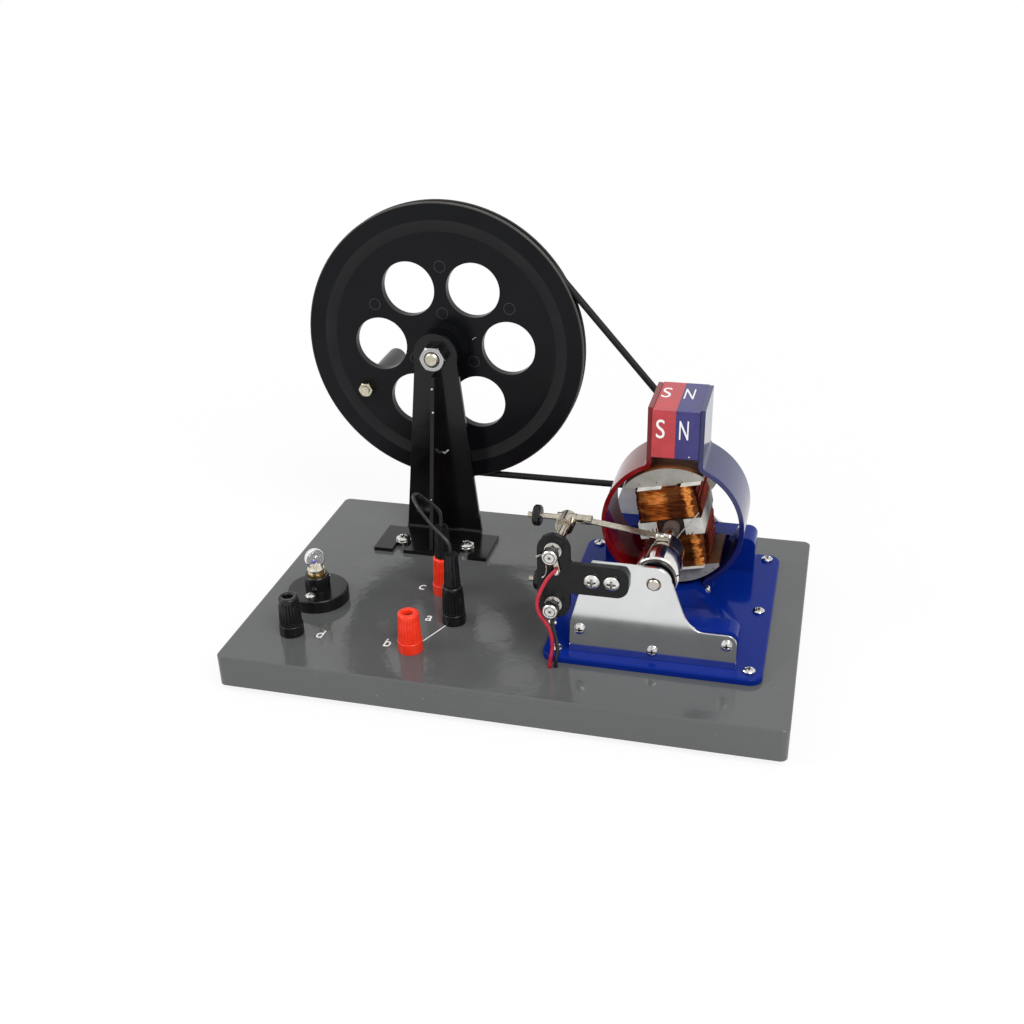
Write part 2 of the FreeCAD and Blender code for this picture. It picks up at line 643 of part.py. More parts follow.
def make_plates():
    hole = PLATE_HOLE_R
    for name, face in (("front_plate", FRONT_PLATE_Y), ("rear_plate", REAR_PLATE_Y - PLATE_T)):
        plate = front_view(plate_outline(), face, PLATE_T)
        drills = [rod(V(MOTOR_X, face - 1, SHAFT_Z), BACK, hole, PLATE_T + 2)]
        for x, z in plate_screw_places():
            drills.append(rod(V(x, face - 1, z), BACK, M3_PAN[0] + SCREW_FIT, PLATE_T + 2))
        if name == "front_plate":
            for x in brush_screw_xs():
                drills.append(rod(V(x, face - 1, SHAFT_Z), BACK, M4_PAN[0] + SCREW_FIT,
                                  PLATE_T + 2))
        node(name, plate.cut(drills))
    screws = []
    length = PLATE_T + PLATE_SCREW_BITE
    for x, z in plate_screw_places():
        screws.append(pan_screw(V(x, FRONT_PLATE_Y, z), -BACK, M3_PAN, length))
        screws.append(pan_screw(V(x, REAR_PLATE_Y, z), BACK, M3_PAN, length))
    node("plate_screws", *screws)


def plate_screw_places():
    return [(MOTOR_X - 37.4, DECK + 17.6), (MOTOR_X + 0.5, DECK + 9.1), (MOTOR_X + 37.7, DECK + 17.6)]


def brush_screw_xs():
    return (BRUSH_SCREW_X, BRUSH_SCREW_X + BRUSH_SCREW_GAP)


def make_casting():
    half_w = FLANGE_W / 2
    front = FLANGE_Y - FLANGE_D / 2
    flange_top = DECK + FLANGE_T
    top = DECK + WALL_H
    flange = rounded_plate(MOTOR_X - half_w, MOTOR_X + half_w, front, front + FLANGE_D,
                           DECK, flange_top, FLANGE_R)
    upper = [e for e in flange.Edges if e.BoundBox.ZMin > flange_top - 0.01]
    flange = flange.makeFillet(1.0, upper)
    shoulder = 5.0
    walls = []
    for y0, depth in ((WALL_FRONT_Y, FRONT_WALL_T), (WALL_REAR_Y - REAR_WALL_T, REAR_WALL_T)):
        wall = block(MOTOR_X - WALL_HALF, MOTOR_X + WALL_HALF, y0, y0 + depth, flange_top - 1, top)
        corners = [e for e in wall.Edges if e.BoundBox.ZMin > top - 0.01
                   and abs(e.tangentAt(e.FirstParameter).y) > 0.99]
        walls.append(wall.makeFillet(shoulder, corners))
    front_in = WALL_FRONT_Y + FRONT_WALL_T
    rear_in = WALL_REAR_Y - REAR_WALL_T
    flare = WALL_HALF - 4.0
    stations = [(front_in - 1.0, WALL_HALF - 1.0, WALL_HALF - 6.7, top),
                (front_in + 33.0, flare, WAIST_HALF + 7.0, DECK + WAIST_H + 2.2),
                (YOKE_Y + 2.0, WAIST_HALF + 9.8, WAIST_HALF, DECK + WAIST_H),
                (YOKE_Y + 15.0, WAIST_HALF + 0.4, WAIST_HALF, DECK + WAIST_H),
                (rear_in + 1.0, WAIST_HALF + 0.4, WAIST_HALF, DECK + WAIST_H)]
    sections = []
    for y, foot, crest, height in stations:
        corners = [V(MOTOR_X - foot, y, flange_top - 1), V(MOTOR_X + foot, y, flange_top - 1),
                   V(MOTOR_X + crest, y, height), V(MOTOR_X - crest, y, height)]
        sections.append(Part.makePolygon(corners + [corners[0]]))
    saddle = Part.makeLoft(sections, True, True)
    body = flange.fuse(walls + [saddle])
    relief_r = YOKE_BORE_R + 1.0
    relief_y = front_in + 12.0
    relief_back = CORE_BACK_Y + PAPER_FLAP + 2.0
    cuts = [rod(V(MOTOR_X, relief_y, SHAFT_Z), BACK, relief_r, relief_back - relief_y)]
    for side in (-1, 1):
        inner = MOTOR_X + side * (YOKE_TAB_X - YOKE_T / 2)
        outer = MOTOR_X + side * (YOKE_TAB_X + YOKE_T / 2 + 12.0)
        cuts.append(block(min(inner, outer), max(inner, outer), YOKE_Y - 0.3,
                          YOKE_Y + YOKE_D + 0.3, flange_top, DECK + YOKE_BORE_R))
        for y in yoke_screw_ys():
            cuts.append(rod(V(inner, y, yoke_screw_z()), RIGHT * -side, M3_PAN[0] + SNUG,
                            YOKE_SCREW_BITE + 1.0))
    for x, y in flange_screw_places():
        cuts.append(rod(V(x, y, DECK - 1), UP, M4_SMALL[0] + SCREW_FIT, FLANGE_T + 2))
    for x, z in plate_screw_places():
        cuts.append(rod(V(x, WALL_FRONT_Y, z), BACK, M3_PAN[0] + SNUG, PLATE_SCREW_BITE + 0.5))
        cuts.append(rod(V(x, WALL_REAR_Y, z), -BACK, M3_PAN[0] + SNUG, PLATE_SCREW_BITE + 0.5))
    node("motor_casting", body.cut(cuts).removeSplitter())
    screws = []
    for x, y in flange_screw_places():
        screws.append(pan_screw(V(x, y, flange_top), UP, M4_SMALL,
                                FLANGE_T + DECK_T + M4_NUT_H + 1.0))
    node("casting_screws", *screws)


def make_bearings():
    bore = SHAFT_D / 2 + SHAFT_FIT
    front = ring(V(MOTOR_X, WALL_FRONT_Y, SHAFT_Z), BACK, BUSH_R, bore, FRONT_BUSH_L)
    rear = ring(V(MOTOR_X, WALL_REAR_Y - REAR_BUSH_L, SHAFT_Z), BACK, BUSH_R, bore, REAR_BUSH_L)
    node("shaft_bearings", front, rear)


# ---------------------------------------------------------------- field magnet and yokes
def yoke_screw_ys():
    return (YOKE_Y + 4.0, YOKE_Y + YOKE_D - 4.0)


def yoke_screw_z():
    return DECK + 9.5


def yoke_sheet(side):
    """Bent steel sheet: beside the magnet, round the armature, and down to its foot tab.
    Each bend is an arc outside both the straight sheet and the bore arc, tangent to both."""
    mid_r = YOKE_BORE_R + YOKE_T / 2
    top_x = MAGNET_W / 2 + SNUG + YOKE_T / 2
    tab_x = YOKE_TAB_X
    reach = mid_r + YOKE_BEND_R
    centre_hi = (top_x + YOKE_BEND_R, math.sqrt(reach ** 2 - (top_x + YOKE_BEND_R) ** 2))
    centre_lo = (tab_x + YOKE_BEND_R, -math.sqrt(reach ** 2 - (tab_x + YOKE_BEND_R) ** 2))
    top_z = MAGNET_TOP - SHAFT_H + 0.6
    tab_z = FLANGE_T - SHAFT_H + 0.3

    def polar(centre, radius, angle):
        return (centre[0] + radius * math.cos(angle), centre[1] + radius * math.sin(angle))

    def chain(offset):
        """Points of one face of the sheet: offset is + on the outside, - on the inside."""
        bend = YOKE_BEND_R - offset
        round_r = mid_r + offset
        hi = math.atan2(centre_hi[1], centre_hi[0])
        lo = math.atan2(centre_lo[1], centre_lo[0])
        hi_mid = (math.pi + hi + math.pi) / 2
        lo_mid = (-math.pi + lo - math.pi) / 2
        return [(top_x + offset, top_z), (top_x + offset, centre_hi[1]),
                polar((0, 0), round_r, hi) + polar(centre_hi, bend, hi_mid),
                polar((0, 0), round_r, lo) + polar((0, 0), round_r, (hi + lo) / 2),
                (tab_x + offset, centre_lo[1]) + polar(centre_lo, bend, lo_mid),
                (tab_x + offset, tab_z)]

    outer = chain(YOKE_T / 2)
    inner = chain(-YOKE_T / 2)
    back_up = [inner[5], inner[4][:2], inner[3][:2] + inner[4][2:], inner[2][:2] + inner[3][2:],
               inner[1] + inner[2][2:], inner[0]]
    moves = []
    for u, v, *rest in outer + back_up:
        move = [MOTOR_X + side * u, SHAFT_Z + v]
        if rest:
            move += [MOTOR_X + side * rest[0], SHAFT_Z + rest[1]]
        moves.append(tuple(move))
    sheet = front_view(moves, YOKE_Y, YOKE_D)
    holes = []
    for y in yoke_screw_ys():
        at = V(MOTOR_X + side * (tab_x - YOKE_T), y, yoke_screw_z())
        holes.append(rod(at, RIGHT * side, M3_PAN[0] + SCREW_FIT, 2 * YOKE_T))
    return sheet.cut(holes)


def make_field():
    node("yoke_red", yoke_sheet(-1))
    node("yoke_blue", yoke_sheet(1))
    screws = []
    for side in (-1, 1):
        for y in yoke_screw_ys():
            at = V(MOTOR_X + side * (YOKE_TAB_X + YOKE_T / 2), y, yoke_screw_z())
            screws.append(pan_screw(at, RIGHT * side, M3_PAN, YOKE_T + YOKE_SCREW_BITE))
    node("yoke_screws", *screws)
    half = MAGNET_W / 2
    for name, x0 in (("magnet_red", MOTOR_X - half), ("magnet_blue", MOTOR_X)):
        node(name, block(x0, x0 + half, MAGNET_Y, MAGNET_Y + MAGNET_D,
                         DECK + MAGNET_FOOT, DECK + MAGNET_TOP))


# ---------------------------------------------------------------- armature
def pole_frame(k):
    """Placement of pole k: its local +X is the pole's direction, its local Y the shaft's."""
    turn = -(POLE_START + 360.0 / POLES * k)
    return FreeCAD.Placement(V(MOTOR_X, 0, SHAFT_Z), FreeCAD.Rotation(BACK, turn))


def on_pole(shape, k):
    shape = shape.copy()
    shape.Placement = pole_frame(k).multiply(shape.Placement)
    return shape


def make_core():
    bore = SHAFT_D / 2 + SNUG
    tip = math.sqrt(CORE_R ** 2 - SHOE_HALF ** 2)
    half_w = POLE_STEM_W / 2
    web = block(-SHOE_CHORD - 1, SHOE_CHORD + 1, CORE_Y, CORE_BACK_Y, -half_w, half_w)
    shoe = outline([(SHOE_CHORD, -SHOE_HALF), (tip, -SHOE_HALF),
                    (tip, SHOE_HALF, CORE_R, 0), (SHOE_CHORD, SHOE_HALF)],
                   lambda u, v: V(u, CORE_Y, v)).extrude(BACK * CORE_L)
    core = on_pole(web, 0).fuse([on_pole(shoe, k) for k in range(POLES)])
    core = core.cut(rod(V(MOTOR_X, CORE_Y - 1, SHAFT_Z), BACK, bore, CORE_L + 2))
    node("armature_core", core.removeSplitter())


def coil_rim(u, half_w):
    """Rounded rectangle round the stem at the height u along the pole."""
    y0 = CORE_Y - COIL_OVERHANG
    y1 = CORE_BACK_Y + COIL_OVERHANG
    edge = rounded_plate(-half_w, half_w, y0, y1, 0, 1, COIL_CORNER_R)
    rim = min(edge.Faces, key=lambda face: face.CenterOfMass.z).OuterWire
    rim.Placement = FreeCAD.Placement(V(u, 0, 0), FreeCAD.Rotation(BACK, 90))
    return rim


def make_coils():
    coil_out = SHOE_CHORD - 2 * PAPER_T
    stem = POLE_STEM_W / 2 + PAPER_T
    core_front = CORE_Y - PAPER_T
    core_back = CORE_BACK_Y + PAPER_T
    winding = Part.makeLoft([coil_rim(COIL_IN_R, COIL_HALF_IN), coil_rim(coil_out, COIL_HALF_OUT)],
                            True, True)
    winding = winding.cut(block(0, SHOE_CHORD, core_front, core_back, -stem, stem))
    node("armature_coils", *[on_pole(winding, k) for k in range(POLES)])
    papers = []
    flap_front = CORE_Y - PAPER_FLAP
    flap_back = CORE_BACK_Y + PAPER_FLAP
    for v0, v1 in SHOE_PAPERS:
        sheet = block(SHOE_CHORD - PAPER_T, SHOE_CHORD, flap_front, flap_back, v0, v1)
        sheet = sheet.cut(block(0, SHOE_CHORD, core_front, core_back, -stem, stem))
        papers += [on_pole(sheet, k) for k in range(POLES)]
    # Between the coils a folded sheet covers each side of the web and closes both ends.
    half_u = COIL_IN_R - PAPER_T
    front = CORE_Y - LINER_FLAP
    back = CORE_BACK_Y + LINER_FLAP
    side = COIL_HALF_IN + PAPER_T
    liner = block(-half_u, half_u, front, back, stem, side)
    liner = liner.cut(block(-half_u - 1, half_u + 1, front + PAPER_T, back - PAPER_T,
                            stem - 1, side - PAPER_T))
    papers += [on_pole(liner, k) for k in range(POLES)]
    sleeve = ring(V(MOTOR_X, CORE_Y - SLEEVE_L, SHAFT_Z), BACK, SLEEVE_R, SHAFT_D / 2 + SNUG, SLEEVE_L)
    node("slot_papers", *papers, sleeve)


def make_commutator():
    at = V(MOTOR_X, 0, SHAFT_Z)
    bore = COMM_HUB_R + SNUG
    barrel = turned([(bore, COMM_Y), (COMM_BARREL_R - 1.0, COMM_Y),
                     (COMM_BARREL_R, COMM_Y + 1.0, COMM_BARREL_R - 0.29, COMM_Y + 0.29),
                     (COMM_BARREL_R, COMM_STEP_Y - 1.2),
                     (COMM_TRACK_R, COMM_STEP_Y, COMM_BARREL_R - 0.3, COMM_STEP_Y - 0.35),
                     (bore, COMM_STEP_Y)], at, BACK)
    track = ring(V(MOTOR_X, COMM_STEP_Y, SHAFT_Z), BACK, COMM_TRACK_R, bore, COMM_TRACK_L)
    slots = []
    for k in range(POLES):
        slot = block(0, COMM_BARREL_R + 1, COMM_Y - 1, COMM_BACK_Y + 1, -COMM_SLOT / 2, COMM_SLOT / 2)
        half_step = FreeCAD.Placement(V(0, 0, 0), FreeCAD.Rotation(BACK, 180.0 / POLES))
        slot.Placement = half_step.multiply(slot.Placement)
        slots.append(on_pole(slot, k))
    node("commutator_segments", *barrel.cut(slots).Solids, *track.cut(slots).Solids)
    shaft = SHAFT_D / 2 + SNUG
    collar_front = WALL_FRONT_Y + FRONT_BUSH_L + RUN_GAP
    hub = turned([(shaft, collar_front), (COMM_RING_R, collar_front), (COMM_RING_R, COMM_Y),
                  (COMM_HUB_R, COMM_Y), (COMM_HUB_R, COMM_BACK_Y + 1.0),
                  (shaft, COMM_BACK_Y + 1.0)], at, BACK)
    node("commutator_hub", hub)


def make_shaft():
    shaft_back = RIM_BACK + SHAFT_PAST_PULLEY
    radius = SHAFT_D / 2
    shaft = rod(V(MOTOR_X, SHAFT_FRONT_Y, SHAFT_Z), BACK, radius, shaft_back - SHAFT_FRONT_Y)
    ends = [e for e in shaft.Edges if e.BoundBox.YLength < 0.01]
    node("armature_shaft", shaft.makeChamfer(0.4, ends))
    bore = radius + SNUG
    lip_r = BELT_R_ON_PULLEY + PULLEY_LIP
    mouth = GROOVE_GAP + 0.7
    hub_front = RIM_FRONT - PULLEY_HUB_L
    hub_r = PULLEY_HUB_R
    pulley = turned([(bore, hub_front), (hub_r, hub_front), (hub_r, RIM_FRONT), (lip_r, RIM_FRONT),
                     (lip_r, BELT_Y - mouth), (BELT_R_ON_PULLEY, BELT_Y - GROOVE_GAP),
                     (BELT_R_ON_PULLEY, BELT_Y + GROOVE_GAP, BELT_R_ON_PULLEY - GROOVE_GAP, BELT_Y),
                     (lip_r, BELT_Y + mouth), (lip_r, RIM_BACK),
                     (bore, RIM_BACK)], V(MOTOR_X, 0, SHAFT_Z), BACK)
    screw_y = hub_front + PULLEY_SCREW_IN
    tapped = rod(V(MOTOR_X, screw_y, SHAFT_Z), UP, M3_PAN[0] + SNUG, hub_r + 1)
    node("belt_pulley", pulley.cut(tapped))
    node("pulley_screw", rod(V(MOTOR_X, screw_y, SHAFT_Z + bore), UP, M3_PAN[0], hub_r - bore))
    collar_back = WALL_REAR_Y - REAR_BUSH_L - RUN_GAP
    node("thrust_collar", ring(V(MOTOR_X, collar_back - COLLAR_L, SHAFT_Z), BACK, COLLAR_R, bore,
                               COLLAR_L))


# ---------------------------------------------------------------- brush gear
def brush_rod_zs():
    return (SHAFT_Z + BRUSH_ROD_SPREAD, SHAFT_Z - BRUSH_ROD_SPREAD)


def make_brush_plate():
    upper, lower = brush_rod_zs()
    x = BRUSH_X
    r = BRUSH_BAR_R
    arm = BRUSH_ARM_HALF
    face = FRONT_PLATE_Y - BRUSH_PLATE_T
    end = BRUSH_ARM_END_X
    soft = BRUSH_ARM_END_R
    nick = soft * (1 - math.sqrt(0.5))
    fillet = 1.5
    bite = fillet * (1 - math.sqrt(0.5))
    plate = front_view([(x - r, lower), (x + r, lower, x, lower - r),
                        (x + r, SHAFT_Z - arm - fillet),
                        (x + r + fillet, SHAFT_Z - arm, x + r + bite, SHAFT_Z - arm - bite),
                        (end - soft, SHAFT_Z - arm),
                        (end, SHAFT_Z - arm + soft, end - nick, SHAFT_Z - arm + nick),
                        (end, SHAFT_Z + arm - soft),
                        (end - soft, SHAFT_Z + arm, end - nick, SHAFT_Z + arm - nick),
                        (x + r + fillet, SHAFT_Z + arm),
                        (x + r, SHAFT_Z + arm + fillet, x + r + bite, SHAFT_Z + arm + bite),
                        (x + r, upper), (x - r, upper, x, upper + r)], face, BRUSH_PLATE_T)
    drills = [rod(V(x, face - 1, z), BACK, BRUSH_ROD_D / 2 + SNUG, BRUSH_PLATE_T + 2)
              for z in brush_rod_zs()]
    drills += [rod(V(sx, face - 1, SHAFT_Z), BACK, M4_PAN[0] + SCREW_FIT, BRUSH_PLATE_T + 2)
               for sx in brush_screw_xs()]
    node("brush_plate", plate.cut(drills))
    screws = []
    nuts = []
    for sx in brush_screw_xs():
        screws.append(pan_screw(V(sx, face, SHAFT_Z), -BACK, M4_PAN,
                                BRUSH_PLATE_T + PLATE_T + M4_NUT_H + 0.8))
        nuts.append(hex_nut(V(sx, WALL_FRONT_Y, SHAFT_Z), BACK, M4_NUT_FLATS, M4_NUT_H,
                            M4_PAN[0] + SNUG))
    node("brush_plate_screws", *screws, *nuts)


def terminal_rod_end():
    return BRUSH_TRACK_Y - CROSS_ROD_D / 2 - ROD_END_GAP


def make_brush_terminals():
    face = FRONT_PLATE_Y - BRUSH_PLATE_T
    radius = BRUSH_ROD_D / 2
    clamp_y = BRUSH_TRACK_Y - CLAMP_FRONT
    rod_start = BRUSH_ROD_FRONT_Y + 1.2
    rod_end = terminal_rod_end()
    rods = []
    nuts = []
    lugs = []
    sleeves = []
    lug_angle = {1: -77.6, -1: -93.6}
    lug_reach = {1: 12.1, -1: 9.5}
    for z, side in zip(brush_rod_zs(), (1, -1)):
        at = V(BRUSH_X, 0, z)
        rods.append(rod(at + BACK * rod_start, BACK, radius, rod_end - rod_start))
        nuts.append(ring(at + BACK * (face - WASHER_T), BACK, 4.4, radius + SNUG, WASHER_T))
        nut_y = face - WASHER_T - LUG_T - M4_NUT_H
        nuts.append(hex_nut(at + BACK * nut_y, BACK, M4_NUT_FLATS, M4_NUT_H, radius + SNUG))
        cap_y = BRUSH_ROD_FRONT_Y
        cap = ring(at + BACK * cap_y, BACK, 3.3, radius + SNUG, nut_y - cap_y)
        front_wall = ring(at + BACK * cap_y, BACK, 3.2, 0.7, 1.0)
        nuts.append(cap.fuse(front_wall).removeSplitter())
        lug = ring(at + BACK * (face - WASHER_T - LUG_T), BACK, 3.6, radius + SNUG, LUG_T)
        tongue = block(3.0, lug_reach[side], face - WASHER_T - LUG_T, face - WASHER_T, -1.3, 1.3)
        tongue.Placement = FreeCAD.Placement(at, FreeCAD.Rotation(BACK, -lug_angle[side]))
        lugs.append(lug.fuse(tongue).removeSplitter())
        sleeves.append(ring(at + BACK * FRONT_PLATE_Y, BACK, radius + 1.0, radius + SNUG,
                            clamp_y - RUN_GAP - FRONT_PLATE_Y))
    node("terminal_rods", *rods, *sleeves)
    node("terminal_nuts", *nuts)
    node("terminal_lugs", *lugs)


def make_brushes():
    """Each brush is a spring strip held by a cross rod in a clamp on the terminal rod."""
    cross_r = CROSS_ROD_D / 2
    strip_y = BRUSH_TRACK_Y - STRIP_W / 2
    pad_half = 3.2
    pad_top = COMM_TRACK_R + RUN_GAP + 1.6
    for z, side, name in zip(brush_rod_zs(), (1, -1), ("upper", "lower")):
        cross_z = z + side * CROSS_RISE[side]
        clamp_y = BRUSH_TRACK_Y - CLAMP_FRONT
        clamp = rod(V(BRUSH_X, clamp_y, z), BACK, CLAMP_R, CLAMP_FRONT + CLAMP_BACK)
        saddle = rod(V(BRUSH_X - 5.0, BRUSH_TRACK_Y, cross_z), RIGHT, cross_r + 1.3, 10.0)
        clamp = clamp.fuse(saddle)
        clamp = clamp.cut([rod(V(BRUSH_X, clamp_y - 1, z), BACK, BRUSH_ROD_D / 2 + SHAFT_FIT,
                               terminal_rod_end() + RUN_GAP - clamp_y + 1),
                           rod(V(BRUSH_X - 9, BRUSH_TRACK_Y, cross_z), RIGHT, cross_r + SNUG, 20)])
        node("brush_clamp_" + name, clamp)
        tip_x = KNOB_X - KNOB_T / 2 - 3.0
        holder_x = BRUSH_X + 12.0
        cross = rod(V(tip_x, BRUSH_TRACK_Y, cross_z), RIGHT, cross_r, holder_x - tip_x)
        holder = rod(V(BRUSH_X + 5.2, BRUSH_TRACK_Y, cross_z), RIGHT, cross_r + 1.0, 8.0)
        thick = STRIP_T / 2
        root = (holder_x - 3.0, cross_z)
        far = (MOTOR_X - 4.0, SHAFT_Z + side * (pad_top - thick))
        strip = front_view([(root[0], root[1] - thick), (far[0], far[1] - thick),
                            (MOTOR_X + pad_half, far[1] - thick), (MOTOR_X + pad_half, far[1] + thick),
                            (far[0], far[1] + thick), (root[0], root[1] + thick)],
                           strip_y, STRIP_W)
        pads = []
        for y in (strip_y, strip_y + STRIP_W - 2.2):
            low = SHAFT_Z + side * (COMM_TRACK_R + RUN_GAP)
            high = SHAFT_Z + side * (pad_top - 0.1)
            pads.append(block(MOTOR_X - pad_half, MOTOR_X + pad_half, y, y + 2.2,
                              min(low, high), max(low, high)))
        node("brush_strip_" + name, cross.fuse([holder, strip] + pads).removeSplitter())
        knob = turned([(cross_r + SHAFT_FIT, 0), (KNOB_R - 0.8, 0), (KNOB_R, 0.8),
                       (KNOB_R, KNOB_T - 0.8), (KNOB_R - 0.8, KNOB_T),
                       (cross_r + SHAFT_FIT, KNOB_T)],
                      V(KNOB_X - KNOB_T / 2, BRUSH_TRACK_Y, cross_z), RIGHT)
        node("brush_knob_" + name, knob)


def make_wires():
    """The two leads from the brush terminals run down through the deck to the posts."""
    lug_front = FRONT_PLATE_Y - BRUSH_PLATE_T - WASHER_T - LUG_T
    seat_y = lug_front - WIRE_D / 2 - SNUG
    hole_x, hole_y = WIRE_HOLES["red"]
    red = [V(28.6, seat_y, DECK + 54.0), V(25.4, seat_y - 1.2, DECK + 51.0),
           V(22.6, seat_y - 2.8, DECK + 46.0), V(20.3, seat_y - 4.4, DECK + 40.6),
           V(19.4, seat_y - 5.3, DECK + 35.2), V(21.2, seat_y - 5.7, DECK + 29.9),
           V(24.8, seat_y - 5.6, DECK + 25.2), V(27.2, seat_y - 5.2, DECK + 18.5),
           V(27.9, seat_y - 5.8, DECK + 10.5), V(hole_x, hole_y, DECK + 4.2),
           V(hole_x, hole_y, DECK_UNDER + 1.0)]
    node("red_wire", tube_along(red, WIRE_D, "red_wire"))
    hole_x, hole_y = WIRE_HOLES["black"]
    black = [V(26.1, seat_y, DECK + 24.4), V(27.4, seat_y - 1.2, DECK + 18.8),
             V(29.3, seat_y - 2.8, DECK + 13.1), V(30.2, seat_y - 4.4, DECK + 8.3),
             V(hole_x, hole_y, DECK + 3.6), V(hole_x, hole_y, DECK_UNDER + 1.0)]
    node("black_wire", tube_along(black, WIRE_D, "black_wire"))


# ---------------------------------------------------------------- binding posts, lamp, jumper
def make_posts():
    collars = {"red": [], "black": []}
    studs = []
    for letter, (x, y) in POSTS.items():
        colour = "red" if letter in "bc" else "black"
        collar = ring(V(x, y, DECK), UP, POST_COLLAR_R, POST_STUD_R + SNUG, POST_COLLAR_H)
        rim = [e for e in collar.Edges if e.BoundBox.ZMin > DECK + POST_COLLAR_H - 0.01
               and e.BoundBox.XLength > 2 * POST_COLLAR_R - 0.1]
        collars[colour].append(collar.makeFillet(0.6, rim))
        stem_l = DECK_T + M4_NUT_H + 3.0
        stud = rod(V(x, y, DECK), UP, POST_STUD_R, POST_STUD_TOP)
        stud = stud.fuse(rod(V(x, y, DECK), -UP, M4_PAN[0], stem_l)).removeSplitter()
        studs.append(stud.cut(rod(V(x, y, DECK + POST_STUD_TOP), -UP, POST_SOCKET_R,
                                  POST_SOCKET_L)))
        foot = POST_COLLAR_H + RUN_GAP
        cap_h = POST_TOP_H - foot
        cap = fluted(POST_FOOT_R, POST_TIP_R, cap_h - 1.0, POST_FLUTES, FLUTE_DEPTH)
        crown = turned([(0, cap_h - 1.3), (POST_TIP_R - 0.35, cap_h - 1.3),
                        (POST_TIP_R - 1.1, cap_h, POST_TIP_R - 0.5, cap_h - 0.35), (0, cap_h)],
                       V(0, 0, 0), UP)
        cap = cap.fuse(crown).removeSplitter()
        cap = cap.cut([rod(V(0, 0, 0), UP, POST_STUD_R + SHAFT_FIT,
                           POST_STUD_TOP - foot + RUN_GAP),
                       rod(V(0, 0, 0), UP, POST_MOUTH_R, cap_h + 1)])
        cap.translate(V(x, y, DECK + foot))
        node("post_cap_" + letter, cap)
    node("post_collars_red", *collars["red"])
    node("post_collars_black", *collars["black"])
    node("post_studs", *studs)


def make_under_nuts():
    nuts = []
    bore = M4_PAN[0] + SNUG
    for x, y in stand_screw_places() + flange_screw_places() + list(POSTS.values()):
        nuts.append(hex_nut(V(x, y, DECK_UNDER), -UP, M4_NUT_FLATS, M4_NUT_H, bore))
    node("under_nuts", *nuts)


def make_lamp():
    at = V(LAMP_X, LAMP_Y, DECK)
    shell_r = BULB_CAP_R + 0.1 + SHELL_T
    edge = 0.8
    shell_foot = 5.0
    holder = turned([(0, 0), (LAMP_R, 0), (LAMP_R, LAMP_H - edge),
                     (LAMP_R - edge, LAMP_H, LAMP_R - edge * 0.29, LAMP_H - edge * 0.29),
                     (LAMP_NECK_R + 0.2, LAMP_H), (LAMP_NECK_R, LAMP_NECK_H - 0.5),
                     (LAMP_NECK_R - 0.5, LAMP_NECK_H), (shell_r + SNUG, LAMP_NECK_H),
                     (shell_r + SNUG, shell_foot), (0, shell_foot)], at, UP)
    drills = [rod(V(x, y, DECK - 1), UP, M3_PAN[0] + SCREW_FIT, LAMP_H + 2)
              for x, y in lamp_screw_places()]
    node("lamp_holder", holder.cut(drills))
    node("lamp_screws", *[pan_screw(V(x, y, DECK + LAMP_H), UP, M3_PAN, LAMP_H + DECK_T - 0.5)
                          for x, y in lamp_screw_places()])
    shell = turned([(0, shell_foot), (shell_r, shell_foot), (shell_r, LAMP_NECK_H + 0.8),
                    (shell_r - SHELL_T, LAMP_NECK_H + 0.8), (shell_r - SHELL_T, shell_foot + 0.6),
                    (0, shell_foot + 0.6)], at, UP)
    node("lamp_shell", shell)
    cap_foot = shell_foot + 2.0
    cap_top = cap_foot + BULB_CAP_H + 1.5
    cap = turned([(0, cap_foot - 1.1), (1.6, cap_foot - 1.1), (2.2, cap_foot),
                  (BULB_CAP_R - 0.6, cap_foot), (BULB_CAP_R, cap_foot + 0.8),
                  (BULB_CAP_R, cap_top - 1.5), (BULB_CAP_R + 0.25, cap_top - 1.2),
                  (BULB_CAP_R + 0.25, cap_top), (0, cap_top)], at, UP)
    node("bulb_cap", cap)
    neck_r = BULB_CAP_R - 0.4
    join = GLOBE_H - math.sqrt(GLOBE_R ** 2 - neck_r ** 2)
    glass = turned([(0, cap_top), (neck_r, cap_top), (neck_r, join),
                    (0, GLOBE_H + GLOBE_R, GLOBE_R, GLOBE_H)], at, UP)
    node("bulb_glass", glass)


def make_jumper():
    """A lead with a banana plug in post a and one in post c."""
    seat = POST_TOP_H + RUN_GAP
    plugs = []
    for letter in ("a", "c"):
        x, y = POSTS[letter]
        handle = fluted(PLUG_FOOT_R, PLUG_TIP_R, PLUG_H, PLUG_FLUTES, FLUTE_DEPTH)
        pin = rod(V(0, 0, -(seat - POST_STUD_TOP) - PLUG_PIN_L), UP, PLUG_PIN_R,
                  PLUG_PIN_L + seat - POST_STUD_TOP + 1.0)
        plug = handle.fuse(pin).removeSplitter()
        plug.translate(V(x, y, DECK + seat))
        plugs.append(plug)
    node("jumper_plugs", *plugs)
    top = DECK + seat + PLUG_H
    ax, ay = POSTS["a"]
    cx, cy = POSTS["c"]
    route = [V(ax, ay, top), V(ax, ay, top + 3.9), V(ax - 1.9, ay + 0.5, top + 7.1),
             V(ax - 5.2, ay + 1.6, top + 9.8), V(ax - 10.5, ay + 3.6, top + 13.4),
             V(ax - 15.8, ay + 6.2, top + 17.8), V(ax - 21.0, ay + 9.8, top + 21.8),
             V(ax - 25.2, ay + 15.7, top + 24.0), V(cx - 11.0, cy - 7.0, top + 23.0),
             V(cx - 6.7, cy - 2.0, top + 16.2), V(cx - 1.5, cy, top + 11.1),
             V(cx + 0.4, cy + 0.5, top + 5.7), V(cx, cy, top)]
    node("jumper_lead", tube_along(route, LEAD_D, "jumper_lead"))


